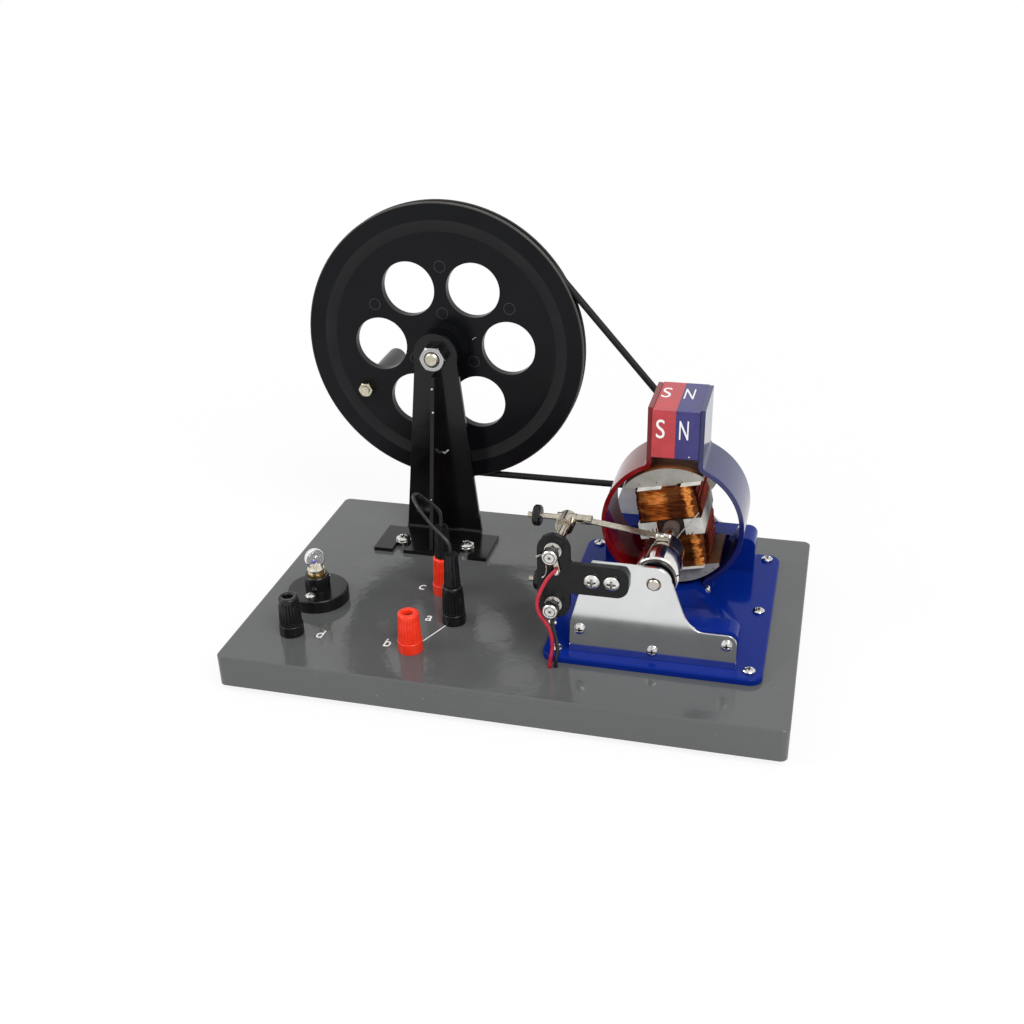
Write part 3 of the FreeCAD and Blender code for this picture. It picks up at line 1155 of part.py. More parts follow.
# ---------------------------------------------------------------- build and write
make_base()
make_stand()
make_wheel()
make_axle()
make_crank()
make_belt()
make_casting()
make_plates()
make_bearings()
make_field()
make_core()
make_coils()
make_commutator()
make_shaft()
make_brush_plate()
make_brush_terminals()
make_brushes()
make_wires()
make_posts()
make_under_nuts()
make_lamp()
make_jumper()

os.makedirs("parts", exist_ok=True)
for name, shape in nodes.items():
    shape.translate(ORIGIN * -1)
    if not shape.isValid():
        print("not valid:", name)
    shape.exportStep("parts/%s.step" % name)
print(len(nodes), "nodes")
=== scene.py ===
import math
import bmesh
import bpy
import numpy as np
from mathutils import Matrix, Vector


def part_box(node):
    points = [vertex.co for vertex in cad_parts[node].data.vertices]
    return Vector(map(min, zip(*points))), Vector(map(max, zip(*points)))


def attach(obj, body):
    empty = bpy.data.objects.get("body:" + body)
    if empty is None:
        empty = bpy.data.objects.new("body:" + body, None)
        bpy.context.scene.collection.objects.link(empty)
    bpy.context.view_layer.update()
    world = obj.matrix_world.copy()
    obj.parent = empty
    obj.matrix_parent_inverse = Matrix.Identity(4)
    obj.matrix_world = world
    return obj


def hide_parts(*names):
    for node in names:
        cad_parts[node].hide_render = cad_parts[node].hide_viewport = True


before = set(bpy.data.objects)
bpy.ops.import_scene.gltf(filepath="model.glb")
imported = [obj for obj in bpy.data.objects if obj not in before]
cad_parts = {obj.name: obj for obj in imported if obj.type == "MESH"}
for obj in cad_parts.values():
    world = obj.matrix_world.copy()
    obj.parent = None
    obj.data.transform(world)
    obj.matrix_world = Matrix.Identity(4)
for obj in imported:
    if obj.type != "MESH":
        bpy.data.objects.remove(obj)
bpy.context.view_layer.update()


# ---- Base board ----
# An injection-moulded grey tray, open below. Its polished deck has faint sink marks, so that
# reflections waver, and dust lies on it. It stands on four rubber feet held by screws.

MM = 0.001


def node_box(name):
    """A CAD node's lowest and highest corners and its middle."""
    low, high = (np.array(corner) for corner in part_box(name))
    return low, high, (low + high) / 2


_, BOARD_TOP, BOARD_MIDDLE = node_box("base_board")
DECK = BOARD_TOP[2]


def new_material(name):
    """A node material with its Principled shader ready to wire."""
    material = bpy.data.materials.new(name)
    material.use_nodes = True
    tree = material.node_tree
    return material, tree, tree.nodes["Principled BSDF"]


def feed(place, value):
    """Link an input to a socket, or set it to a plain value."""
    if isinstance(value, bpy.types.NodeSocket):
        place.node.id_data.links.new(value, place)
    else:
        place.default_value = value


def set_inputs(node, **values):
    """Feed named inputs, with underscores for the spaces in their names."""
    for key, value in values.items():
        feed(node.inputs[key.replace("_", " ")], value)
    return node


def added(tree, kind, *sources, operation=None, **values):
    """A new shader node: sources feed its first inputs in order, and values its named inputs."""
    node = tree.nodes.new("ShaderNode" + kind)
    if operation:
        node.operation = operation
    for place, source in zip(node.inputs, sources):
        feed(place, source)
    return set_inputs(node, **values)


def object_place(tree):
    """The object coordinates."""
    return added(tree, "TexCoord").outputs["Object"]


def noise(tree, scale, detail=3.0, rough=0.5, stretch=(1, 1, 1)):
    """Noise on object coordinates, stretched along an axis where stretch is below 1."""
    squeeze = added(tree, "Mapping", object_place(tree), Scale=stretch)
    return added(tree, "TexNoise", squeeze.outputs["Vector"], Scale=scale, Detail=detail,
                 Roughness=rough).outputs["Fac"]


def ramp(tree, source, stops):
    """Colour ramp: stops are (place, (r, g, b)) in rising order."""
    node = added(tree, "ValToRGB", source)
    marks = node.color_ramp.elements
    while len(marks) < len(stops):
        marks.new(0.5)
    for mark, (place, colour) in zip(marks, stops):
        mark.position = place
        mark.color = (*colour, 1.0)
    return node.outputs["Color"]


def spread(tree, source, low, high, start=0.3, end=0.7):
    """Map a value between start and end to the range low to high."""
    return added(tree, "MapRange", source, From_Min=start, From_Max=end, To_Min=low,
                 To_Max=high).outputs["Result"]


def mixed(tree, share, first, second):
    """Blend two colours; second may be a plain (r, g, b)."""
    node = tree.nodes.new("ShaderNodeMix")
    node.data_type = "RGBA"
    if isinstance(second, tuple):
        second = (*second, 1.0)
    return set_inputs(node, Factor=share, A=first, B=second).outputs["Result"]


def relief(tree, shader, height=None, strength=0.0, distance=0.0002, edge=0.0):
    """Bump the shader's normal by a height, and round its edges in shading to a radius in mm."""
    if edge:
        bevel = added(tree, "Bevel", Radius=edge * MM)
        bevel.samples = 4
        set_inputs(shader, Normal=bevel.outputs["Normal"])
    if height is not None:
        bump = added(tree, "Bump", Strength=strength, Distance=distance, Height=height)
        if edge:
            set_inputs(bump, Normal=bevel.outputs["Normal"])
        set_inputs(shader, Normal=bump.outputs["Normal"])


def grey(tone):
    """A plain grey."""
    return (tone, tone, tone)


def finish(name, dark, light, rough, grain=300.0, bump=0.0, metallic=0.0, edge=0.0, dust=0.0,
           shine=0.5):
    """A material whose colour drifts between two tones, with its gloss varying a little.
    Pale specks show where a fine noise peaks, as strongly as dust says."""
    material, tree, shader = new_material(name)
    drift = noise(tree, grain)
    colour = ramp(tree, drift, [(0.35, dark), (0.65, light)])
    if dust:
        peaks = spread(tree, noise(tree, 520.0, 1.0), 0.0, dust, 0.77, 0.83)
        colour = mixed(tree, peaks, colour, (0.32, 0.31, 0.29))
    gloss = spread(tree, drift, rough * 0.8, rough * 1.2)
    set_inputs(shader, Base_Color=colour, Roughness=gloss, Metallic=metallic,
               Specular_IOR_Level=shine)
    height = noise(tree, grain * 2.5, 4.0) if bump else None
    relief(tree, shader, height, bump, edge=edge)
    return material


def clothe(material, *names):
    """Give these CAD nodes one material in every slot."""
    for name in names:
        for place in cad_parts[name].material_slots:
            place.material = material


base_grey, tree, shader = new_material("base_grey")
tone = ramp(tree, noise(tree, 9.0), [(0.3, (0.088, 0.09, 0.091)), (0.7, (0.098, 0.1, 0.101))])
smears = spread(tree, noise(tree, 26.0, 6.0, 0.7), 0.0, 0.12, 0.6, 0.75)
tone = mixed(tree, smears, tone, (0.2, 0.2, 0.19))
dust = spread(tree, noise(tree, 430.0, 1.0), 0.0, 0.22, 0.77, 0.82)
set_inputs(shader, Base_Color=mixed(tree, dust, tone, (0.4, 0.4, 0.38)),
           Roughness=spread(tree, noise(tree, 30.0, 5.0), 0.08, 0.16), Specular_IOR_Level=0.42)
relief(tree, shader, noise(tree, 60.0, 3.0, 0.6), 0.4, 0.0006, edge=0.8)
clothe(base_grey, "base_board")

clothe(finish("foot_rubber", grey(0.012), grey(0.022), 0.7, 900.0, 0.3), "rubber_feet")

zinc = finish("zinc", (0.6, 0.59, 0.57), (0.78, 0.77, 0.75), 0.16, 700.0, 0.05, 1.0, edge=0.15)
clothe(zinc, "foot_screws", "under_nuts")


# ---- Deck marks ----
# White screen-printed letters beside the four posts, leaning as italics do, and one thin line
# from post b to post a. They are films of ink 0.05 mm thick.

INK = 0.05 * MM
INK_SINK = 0.02 * MM

ink = finish("white_ink", (0.8, 0.8, 0.79), (0.9, 0.9, 0.89), 0.45, 900.0, 0.1)


def spot(x, y, up=0.0):
    """A point in metres from millimetres right and back of the board's middle, above its deck."""
    return np.array((BOARD_MIDDLE[0] + x * MM, BOARD_MIDDLE[1] + y * MM, DECK + up * MM))


def spots(places):
    """Several such points."""
    return [spot(*place) for place in places]


def placed(name, data):
    """A new object in the scene."""
    thing = bpy.data.objects.new(name, data)
    bpy.context.scene.collection.objects.link(thing)
    return thing


def build(name, parts, material, body, angle=35.0):
    """One mesh piece from (points, faces) parts in metres, or (points, faces, depths), whose depths set
    where its material paints shade into hollows. Doubles are merged, normals turned outwards, and
    edges sharper than angle degrees stay sharp."""
    faces = []
    start = 0
    for part in parts:
        faces += (np.asarray(part[1]) + start).tolist()
        start += len(part[0])
    mesh = bpy.data.meshes.new(name)
    mesh.from_pydata(np.concatenate([part[0] for part in parts]).tolist(), [], faces)
    hollow_shade = [part[2] if len(part) > 2 else np.zeros(len(part[0])) for part in parts]
    if any(len(part) > 2 for part in parts):
        depth = mesh.attributes.new("hollow_shade", "FLOAT", "POINT")
        depth.data.foreach_set("value", np.concatenate(hollow_shade))
    shell = bmesh.new()
    shell.from_mesh(mesh)
    bmesh.ops.remove_doubles(shell, verts=shell.verts, dist=1e-7)
    bmesh.ops.recalc_face_normals(shell, faces=shell.faces)
    shell.to_mesh(mesh)
    shell.free()
    mesh.shade_smooth()
    mesh.set_sharp_from_angle(angle=math.radians(angle))
    mesh.materials.append(material)
    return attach(placed(name, mesh), body)


def slab(origin, along, across, thick):
    """A box from a corner and its three edge vectors: eight corners, six faces."""
    steps = np.array([(i, j, k) for k in (0, 1) for j in (0, 1) for i in (0, 1)])
    points = np.asarray(origin) + steps @ np.array((along, across, thick))
    return points, [(0, 2, 3, 1), (4, 5, 7, 6), (0, 1, 5, 4), (2, 6, 7, 3), (0, 4, 6, 2), (1, 3, 7, 5)]


def mesh_points(mesh):
    """A mesh's points, one a row."""
    points = np.empty(len(mesh.vertices) * 3)
    mesh.vertices.foreach_get("co", points)
    return points.reshape(-1, 3)


def lettering(name, text, centre, across, up, width, height, lean=0.0, weight=0.0):
    """One letter as a film of ink. Its outline's own x and y, less their middles and divided by
    their spans, times width and height, are laid along the unit vectors across and up."""
    curve = bpy.data.curves.new(name, "FONT")
    curve.body = text
    curve.shear = lean
    curve.offset = weight
    curve.extrude = 0.1
    curve.resolution_u = 6
    draft = placed(name + "_draft", curve)
    graph = bpy.context.evaluated_depsgraph_get()
    flat = bpy.data.meshes.new_from_object(draft.evaluated_get(graph))
    bpy.data.objects.remove(draft)
    points = mesh_points(flat)
    low, high = points.min(0), points.max(0)
    share = (points - (low + high) / 2) / (high - low)
    film = INK + INK_SINK
    points = (centre + share[:, :1] * width * MM * across + share[:, 1:2] * height * MM * up
              + (share[:, 2:] * film + film / 2 - INK_SINK) * np.cross(across, up))
    flat.vertices.foreach_set("co", points.ravel())
    flat.update()
    flat.materials.clear()
    flat.materials.append(ink)
    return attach(placed(name, flat), "base")


RIGHTWARDS, BACKWARDS = (1, 0, 0), (0, 1, 0)
ASCENDER, SMALL = 7.4, 5.3  # heights of the letters
for letter, x, y, width, height in (
        ("d", -102.5, -64.4, 3.8, ASCENDER), ("c", -63.8, -4.3, 3.6, SMALL),
        ("a", -49.5, -36.1, 3.6, SMALL), ("b", -63.5, -64.7, 3.8, ASCENDER)):
    lettering("deck_letter_" + letter, letter, spot(x, y), RIGHTWARDS, BACKWARDS, width, height,
              lean=0.05, weight=0.004)

LINE_WIDTH = 0.6
line_start, line_end = spot(-45.3, -59.1), spot(-38.0, -41.7)
line_run = line_end - line_start
line_side = np.cross((0, 0, 1), line_run / np.linalg.norm(line_run)) * LINE_WIDTH * MM
build("deck_line", [slab(line_start - (0, 0, INK_SINK), line_run, line_side, (0, 0, INK + INK_SINK))],
      ink, "base")


# ---- Wheel stand ----
# Bent and welded steel sheet with gloss black paint. Two cross-head screws with washers hold its
# foot down, and the paint is chipped to the pale primer along the weld.

clothe(finish("black_paint", (0.0033, 0.0033, 0.0038), (0.006, 0.006, 0.0065), 0.16, 60.0, 0.03,
       edge=0.25, dust=0.2, shine=0.28), "stand_bracket")


def lattice(points, closed=True):
    """Quads over a grid of points (rows, columns, 3); closed joins the last column to the first."""
    rows, cols = points.shape[:2]
    i, j = np.meshgrid(np.arange(rows - 1), np.arange(cols - (not closed)), indexing="ij")
    here, below, beside = i * cols, (i + 1) * cols, (j + 1) % cols
    faces = np.stack([here + j, below + j, below + beside, here + beside], -1)
    return points.reshape(-1, 3), faces.reshape(-1, 4)


def aimed(points, at, axis):
    """Points in millimetres about Z, turned so that Z lies along axis, and set at a place."""
    turn = np.array(Vector(axis).to_track_quat("Z", "Y").to_matrix())
    return np.asarray(points) @ turn.T * MM + np.asarray(at)


def full_circle(steps):
    """Angles evenly round a circle."""
    return np.linspace(0, 2 * math.pi, steps, endpoint=False)


def spun(radius, height, angle):
    """Points (r cos t, r sin t, h), the angles t across and the radii and heights down."""
    return np.stack([radius * np.cos(angle), radius * np.sin(angle), height + 0 * angle], -1)


def revolved(profile, at, axis, steps=40, sides=0, round_below=0.0):
    """Surface of revolution over the profile's points (r, h). With sides, radii above
    round_below are divided by cos of the angle from the nearest flat."""
    angle = full_circle(steps)
    profile = np.asarray(profile, float)
    reach = np.ones(steps)
    if sides:
        wedge = 2 * math.pi / sides
        reach = 1 / np.cos((angle + wedge / 2) % wedge - wedge / 2)
    radius = np.where(profile[:, :1] > round_below, profile[:, :1] * reach, profile[:, :1])
    return lattice(aimed(spun(radius, profile[:, 1:], angle), at, axis))


def washer(at, axis, outer, inner, thick, *corners):
    """A flat ring: a rectangle's outline revolved."""
    outline = [(inner, 0), (outer, 0), (outer, thick), (inner, thick), (inner, 0)]
    return revolved(outline, at, axis, *corners)


def hex_nut(at, axis, flats, height, bore):
    """The same outline, its outer side made a hexagon."""
    return washer(at, axis, flats / 2, bore, height, 48, 6, bore + 0.1)


CROSS_REACH, CROSS_ARM, CROSS_HEART = 0.56, 0.14, 0.26  # as shares of the head's radius
CROSS_DEEP = 0.55  # as a share of the head's height


def cross_screw(at, axis, shank, head, height, length):
    """Cross-head pan screw. A square grid is pressed into a disc: u = x sqrt(1 - y y / 2), and v
    likewise. Its height is a dome, less a cross whose flanks slope; rings close it below."""
    half = np.array((0.0, 0.06, 0.1, 0.14, 0.2, 0.26, 0.36, 0.46, 0.52, 0.58, 0.68, 0.8, 0.91, 1.0))
    side = np.concatenate([-half[:0:-1], half])
    x, y = np.meshgrid(side, side, indexing="ij")
    u, v = x * np.sqrt(1 - y ** 2 / 2), y * np.sqrt(1 - x ** 2 / 2)
    radius = np.hypot(u, v)
    near, far = np.minimum(abs(u), abs(v)), np.maximum(abs(u), abs(v))
    arm = np.clip((CROSS_ARM - near) / 0.04, 0, 1) * np.clip((CROSS_REACH - far) / 0.06, 0, 1)
    pressed = np.maximum(arm, np.clip((CROSS_HEART - radius) / 0.06, 0, 1))
    z = height * (1 - 0.5 * radius ** 2.6) - height * CROSS_DEEP * pressed
    top = np.stack([u * head, v * head, z], -1)
    rim = np.concatenate([top[:-1, 0], top[-1, :-1], top[:0:-1, -1], top[0, :0:-1]])
    flat = rim[:, :2] / head
    rings = [(head, height * 0.5), (head, 0.12 * height), (head * 0.96, 0), (shank, 0),
             (shank, -length + 0.5), (shank * 0.7, -length), (0, -length)]
    below = np.stack([np.concatenate([flat * r, np.full((len(flat), 1), h)], 1) for r, h in rings])
    # pressed, stored with the top, places the painted shade inside the cross.
    return [(*lattice(aimed(top, at, axis), False), pressed.ravel()),
            lattice(aimed(below, at, axis))]


def stored(tree, name):
    """The value that the mesh's points keep under this name."""
    node = added(tree, "Attribute")
    node.attribute_name = name
    return node.outputs["Fac"]


def plating(name, bright, painted_shade_tone, roughness):
    """Bright plated metal: a cloudy tone that turns to a dark one, painted shade, where the stored
    depth, 1 in a pressed cross or a groove and 0 elsewhere, is high."""
    material, tree, shader = new_material(name)
    cloudy = tuple(0.68 * part for part in bright)
    tone = ramp(tree, noise(tree, 500.0), [(0.35, cloudy), (0.65, bright)])
    set_inputs(shader, Base_Color=mixed(tree, stored(tree, "hollow_shade"), tone, painted_shade_tone), Metallic=1.0,
               Roughness=roughness)
    return material


plated = plating("plated", (0.74, 0.73, 0.71), (0.075, 0.07, 0.062), 0.15)


def set_of_screws(node, parts, material=plated):
    """These parts stand for a node of screws on the base."""
    screws = build(node + "_cross_head", parts, material, "base")
    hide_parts(node)


UPWARDS = (0, 0, 1)
STAND_HEAD = (2.0, 4.3, 3.0)  # shank radius, head radius, head height of each screw, in mm
STAND_WASHER = (4.6, 2.05, 0.8)
low, high, middle = node_box("stand_screws")
seat = high[2] - STAND_HEAD[2] * MM
parts = []
for x in (low[0] + STAND_WASHER[0] * MM, high[0] - STAND_WASHER[0] * MM):
    at = np.array((x, middle[1], seat))
    parts += cross_screw(at, UPWARDS, *STAND_HEAD, (seat - low[2]) / MM)
    parts.append(washer(at - (0, 0, STAND_WASHER[2] * MM), UPWARDS, *STAND_WASHER))
set_of_screws("stand_screws", parts)

primer = finish("primer", (0.5, 0.49, 0.46), (0.7, 0.69, 0.66), 0.4, 900.0, 0.2)
FORWARDS = (0, -1, 0)
UPRIGHT_FACE = 64.0  # the front face of the stand's upright; the gusset's edge slopes


def fleck(at, axis, across):
    """A chip in paint: a shallow dome, an outline of four points revolved."""
    return revolved([(0, -0.05), (across, -0.05), (across * 0.7, 0.08), (0, 0.12)], at, axis, 9)


chips = ((-69.4, UPRIGHT_FACE, 54.9, 0.5), (-68.6, UPRIGHT_FACE, 54.3, 0.6),
         (-67.7, UPRIGHT_FACE, 55.0, 0.55), (-66.9, UPRIGHT_FACE, 55.8, 0.65),
         (-66.2, UPRIGHT_FACE, 56.4, 0.5), (-71.5, 55.6, 98.0, 0.8), (-70.7, 52.85, 84.6, 0.7),
         (-71.4, 42.3, 32.9, 0.5))
parts = [fleck(spot(*place), FORWARDS, across) for *place, across in chips]
build("stand_paint_chips", parts, primer, "base")


# ---- Belt wheel ----
# A moulded black wheel with raised rings where the mould's pins pressed it out. It turns on a
# plated bolt and carries a crank bolt with its nuts and a turning grip; a rubber belt runs on it.


def from_axis(tree, x, z):
    """Distance in metres from the line along Y through x and z, in object coordinates."""
    flat = added(tree, "VectorMath", object_place(tree), (1, 0, 1), (-x, 0, -z),
                 operation="MULTIPLY_ADD")
    return added(tree, "VectorMath", flat.outputs["Vector"], operation="LENGTH").outputs["Value"]


wheel_middle = node_box("belt_wheel")[2]


def ringed(tree, start, end, stops):
    """Colour ramp over the distance from the wheel's axis, between two radii in mm."""
    reach = from_axis(tree, wheel_middle[0], wheel_middle[2])
    return ramp(tree, spread(tree, reach, 0.0, 1.0, start * MM, end * MM), stops)


wheel_black, tree, shader = new_material("wheel_black")
GROOVE_R, RIM_R = 67.0, 85.0  # the lighter ring's inner radius, and the rim's, whose edge carries a painted highlight
# A lighter ring out from GROOVE_R, and a painted highlight along the rim's outer edge.
lighter_ring_and_rim_highlight = ringed(tree, GROOVE_R, RIM_R, [
    (0.03, (0.0038, 0.004, 0.005)), (0.06, (0.013, 0.013, 0.014)), (0.4, (0.017, 0.017, 0.018)),
    (0.43, (0.0032, 0.0035, 0.0052)), (0.925, (0.0032, 0.0035, 0.0052)), (0.95, (0.09, 0.085, 0.075))])
cloud = spread(tree, noise(tree, 40.0, 4.0), 0.0, 0.5)
set_inputs(shader, Base_Color=mixed(tree, cloud, lighter_ring_and_rim_highlight, (0.0075, 0.008, 0.0105)),
           Roughness=spread(tree, noise(tree, 90.0, 4.0), 0.2, 0.3), Specular_IOR_Level=0.13)
relief(tree, shader, noise(tree, 100.0, 4.0), 0.05, edge=0.3)
clothe(wheel_black, "belt_wheel")
clothe(finish("bolt_steel", (0.42, 0.39, 0.3), (0.66, 0.62, 0.5), 0.25, 700.0, 0.2, 1.0),
       "axle_bolt", "crank_bolt")
nut_zinc, tree, shader = new_material("nut_zinc")
NUT_FROM, NUT_TO = 3.8, 7.8  # radii over which the nut's face carries painted rings of highlight and shade
# Painted highlights and painted shade: bright and dark rings across the nut's face.
painted_light_rings = ringed(tree, NUT_FROM, NUT_TO, [
    (0.05, grey(0.03)), (0.26, grey(0.05)), (0.32, (0.62, 0.62, 0.61)), (0.52, grey(0.36)),
    (0.72, (0.6, 0.6, 0.59)), (0.86, grey(0.2))])
cloud = spread(tree, noise(tree, 240.0), 0.0, 0.35)
set_inputs(shader, Base_Color=mixed(tree, cloud, painted_light_rings, (0.3, 0.3, 0.29)), Metallic=1.0,
           Roughness=0.16)
relief(tree, shader, noise(tree, 350.0), 0.05, edge=0.5)
clothe(nut_zinc, "axle_nuts")
clothe(finish("nut_yellow", (0.42, 0.4, 0.28), (0.62, 0.6, 0.46), 0.2, 350.0, 0.05, 1.0, edge=0.3),
       "crank_nuts")
clothe(finish("grip_black", grey(0.006), grey(0.01), 0.28, 90.0, 0.05), "crank_grip")
clothe(finish("belt_black", (0.007, 0.007, 0.008), (0.013, 0.013, 0.014), 0.45, 800.0, 0.12,
       shine=0.2), "drive_belt")

PIN_MARK_R = 3.3
WEB_FRONT = -2.6  # from the belt's middle plane, which is the wheel's
rim = [(PIN_MARK_R - 0.3, -0.2), (PIN_MARK_R + 0.3, -0.2), (PIN_MARK_R + 0.2, 0.16),
       (PIN_MARK_R - 0.2, 0.16), (PIN_MARK_R - 0.3, -0.2)]
parts = []
for reach, angles in ((47.7, (31.5, 90.3, 150.6)), (20.0, (90.0, -25.0, 205.0))):
    for angle in np.radians(angles):
        middle = np.array((reach * math.cos(angle), WEB_FRONT, reach * math.sin(angle))) * MM
        parts.append(revolved(rim, wheel_middle + middle, FORWARDS, 32))
pin_grey = finish("pin_grey", (0.011, 0.011, 0.012), (0.02, 0.02, 0.021), 0.25, 300.0, 0.02)
build("wheel_pin_marks", parts, pin_grey, "wheel")


def tube(path, outward, radius, sides=6):
    """Round wire: p + r (cos t n + sin t b), n being outward made square to the path's tangent
    and b their cross product. A point at each end closes it."""
    tangent = np.gradient(path, axis=0)
    tangent /= np.linalg.norm(tangent, axis=1, keepdims=True)
    normal = outward - (outward * tangent).sum(1, keepdims=True) * tangent
    normal /= np.linalg.norm(normal, axis=1, keepdims=True)
    aside = np.cross(tangent, normal)
    angle = full_circle(sides)[:, None]
    ring = (np.cos(angle) * normal[:, None] + np.sin(angle) * aside[:, None]) * radius
    path, ring = np.pad(path, ((1, 1), (0, 0)), "edge"), np.pad(ring, ((1, 1), (0, 0), (0, 0)))
    return lattice(path[:, None] + ring)


SCUFF_R = 0.14
scuffs = [[(-66.5, 76.25, 115.0), (-65.2, 76.2, 116.8), (-64.2, 76.25, 117.2)],
          [(-53.4, 81.65, 120.6), (-52.2, 81.65, 121.6), (-51.0, 81.65, 122.2)],
          [(-60.6, 81.65, 189.2), (-60.2, 81.65, 188.4)],
          [(-57.2, 81.65, 189.1), (-56.8, 81.65, 188.2)]]
parts = [tube(np.array(spots(line)), np.tile((0.0, -1.0, 0.1), (len(line), 1)), SCUFF_R * MM)
         for line in scuffs]
build("wheel_scuffs", parts, primer, "wheel")


# ---- Motor casting and end plates ----
# A blue-enamelled casting screwed down through its flange, with a polished plate screwed on its
# front, a satin one on its back, and a bronze bearing pressed in behind each.

clothe(finish("blue_enamel", (0.0015, 0.015, 0.18), (0.0025, 0.019, 0.21), 0.1, 25.0, 0.04,
       edge=0.6, shine=0.09), "motor_casting")

bright_plate, tree, shader = new_material("bright_plate")
brushed = noise(tree, 60.0, 6.0, 0.6)
tone = ramp(tree, brushed, [(0.3, (0.66, 0.665, 0.67)), (0.7, (0.72, 0.725, 0.73))])
set_inputs(shader, Base_Color=tone, Roughness=spread(tree, noise(tree, 30.0, 4.0), 0.1, 0.17),
           Metallic=1.0)
relief(tree, shader, brushed, 0.015, edge=0.8)
clothe(bright_plate, "front_plate")
clothe(finish("satin_plate", (0.74, 0.74, 0.745), (0.8, 0.8, 0.805), 0.5, 200.0, 0.03, 0.3,
       edge=0.35), "rear_plate")
bronze = finish("bronze", (0.35, 0.2, 0.07), (0.45, 0.27, 0.1), 0.35, 500.0, 0.1, 1.0)
clothe(bronze, "shaft_bearings")

FLANGE_HEAD = (2.0, 3.2, 2.4)
low, high, middle = node_box("casting_screws")
inset = FLANGE_HEAD[1] * MM
seat = high[2] - FLANGE_HEAD[2] * MM
parts = []
for x in (low[0] + inset, high[0] - inset):
    for y in (low[1] + inset, middle[1], high[1] - inset):
        parts += cross_screw((x, y, seat), UPWARDS, *FLANGE_HEAD, (seat - low[2]) / MM)
set_of_screws("casting_screws", parts)

M3_HEAD = (1.5, 2.85, 2.0)
M3_INSET = M3_HEAD[1] * MM  # from the side of a screw's box to its middle
PLATE_SCREW_L = 11.0
MIDDLE_SCREW_ASIDE = 0.35  # the middle screw, right of halfway between the outer two
low, high, middle = node_box("plate_screws")
middle_x = middle[0] + MIDDLE_SCREW_ASIDE * MM
parts = []
for y, axis in ((low[1] + M3_HEAD[2] * MM, FORWARDS), (high[1] - M3_HEAD[2] * MM, BACKWARDS)):
    for x, z in ((low[0] + M3_INSET, high[2] - M3_INSET), (middle_x, low[2] + M3_INSET),
                 (high[0] - M3_INSET, high[2] - M3_INSET)):
        parts += cross_screw((x, y, z), axis, *M3_HEAD, PLATE_SCREW_L)
set_of_screws("plate_screws", parts)


# ---- Field magnet and yokes ----
# Two bent steel yokes with gloss paint, one red and one blue, clasp a block magnet painted in
# two colours and printed with the letters of its poles in white.

clothe(finish("red_gloss", (0.15, 0.0012, 0.0025), (0.2, 0.002, 0.0035), 0.12, 40.0, 0.03,
       edge=0.5, shine=0.4), "yoke_red")
clothe(finish("blue_gloss", (0.008, 0.011, 0.085), (0.012, 0.015, 0.11), 0.12, 40.0, 0.03,
       edge=0.5, shine=0.6), "yoke_blue")
clothe(finish("red_magnet", (0.42, 0.035, 0.045), (0.5, 0.048, 0.058), 0.32, 120.0, 0.04, edge=0.5,
       shine=0.4), "magnet_red")
clothe(finish("blue_magnet", (0.03, 0.026, 0.14), (0.04, 0.036, 0.17), 0.32, 120.0, 0.04, edge=0.5,
       shine=0.4), "magnet_blue")

low, high, middle = node_box("magnet_red")
split, front, top = high[0], low[1], high[2]
FRONT_LETTER_H, TOP_LETTER_H = 10.5, 14.0
for letter, aside, width in (("S", -7.85, 4.5), ("N", 4.3, 4.8)):
    lettering("magnet_front_" + letter, letter, (split + aside * MM, front, top - 10.3 * MM),
              RIGHTWARDS, UPWARDS, width, FRONT_LETTER_H, weight=0.002)
for letter, aside, width in (("S", -8.4, 4.8), ("N", 3.7, 5.2)):
    lettering("magnet_top_" + letter, letter, (split + aside * MM, front + 25.3 * MM, top),
              RIGHTWARDS, BACKWARDS, width, TOP_LETTER_H)

nick = fleck((split + 7.6 * MM, front, low[2] + 1.4 * MM), FORWARDS, 0.5)
build("magnet_nick", [nick], primer, "base")

YOKE_SCREW_L = 10.5
low, high, middle = node_box("yoke_screws")
parts = []
for x, axis in ((low[0] + M3_HEAD[2] * MM, (-1, 0, 0)), (high[0] - M3_HEAD[2] * MM, (1, 0, 0))):
    for y in (low[1] + M3_INSET, high[1] - M3_INSET):
        parts += cross_screw((x, y, low[2] + M3_INSET), axis, *M3_HEAD, YOKE_SCREW_L)
set_of_screws("yoke_screws", parts)


# ---- Armature ----
# Two-pole stack of steel sheets, lacquered brown where it runs past the yokes. Each pole carries
# a coil of enamelled copper wire wound by machine over folded white papers, and the wire's ends
# run forward to the polished commutator.

POLE_ANGLE = 102.3  # the upper pole's direction at rest
POLES = 2
COIL_FOOT, COIL_TOP = 5.0, 24.0  # along the pole, from the shaft's middle
COIL_HALF_FOOT, COIL_HALF_TOP = 17.0, 15.6
COIL_CORNER = 4.0
WIRE_R = 0.29
TURNS = 33
CORNER_STEPS, RUN_STEPS = 6, 5

SHAFT_X, _, SHAFT_Z = node_box("armature_shaft")[2]
core_low, core_high, core_middle = node_box("armature_core")
coil_low, coil_high, _ = node_box("armature_coils")
COIL_HALF_DEEP = (coil_high[1] - coil_low[1]) / 2 / MM


def on_pole(points, k):
    """From a pole's own space, u out along the pole, y along the shaft from the core's middle
    and v across, in millimetres, to metres: x = u cos a - v sin a and z = u sin a + v cos a."""
    angle = math.radians(POLE_ANGLE + 360.0 / POLES * k)
    u, y, v = points[..., 0], points[..., 1], points[..., 2]
    return np.stack([SHAFT_X + (u * math.cos(angle) - v * math.sin(angle)) * MM,
                     core_middle[1] + y * MM,
                     SHAFT_Z + (u * math.sin(angle) + v * math.cos(angle)) * MM], -1)


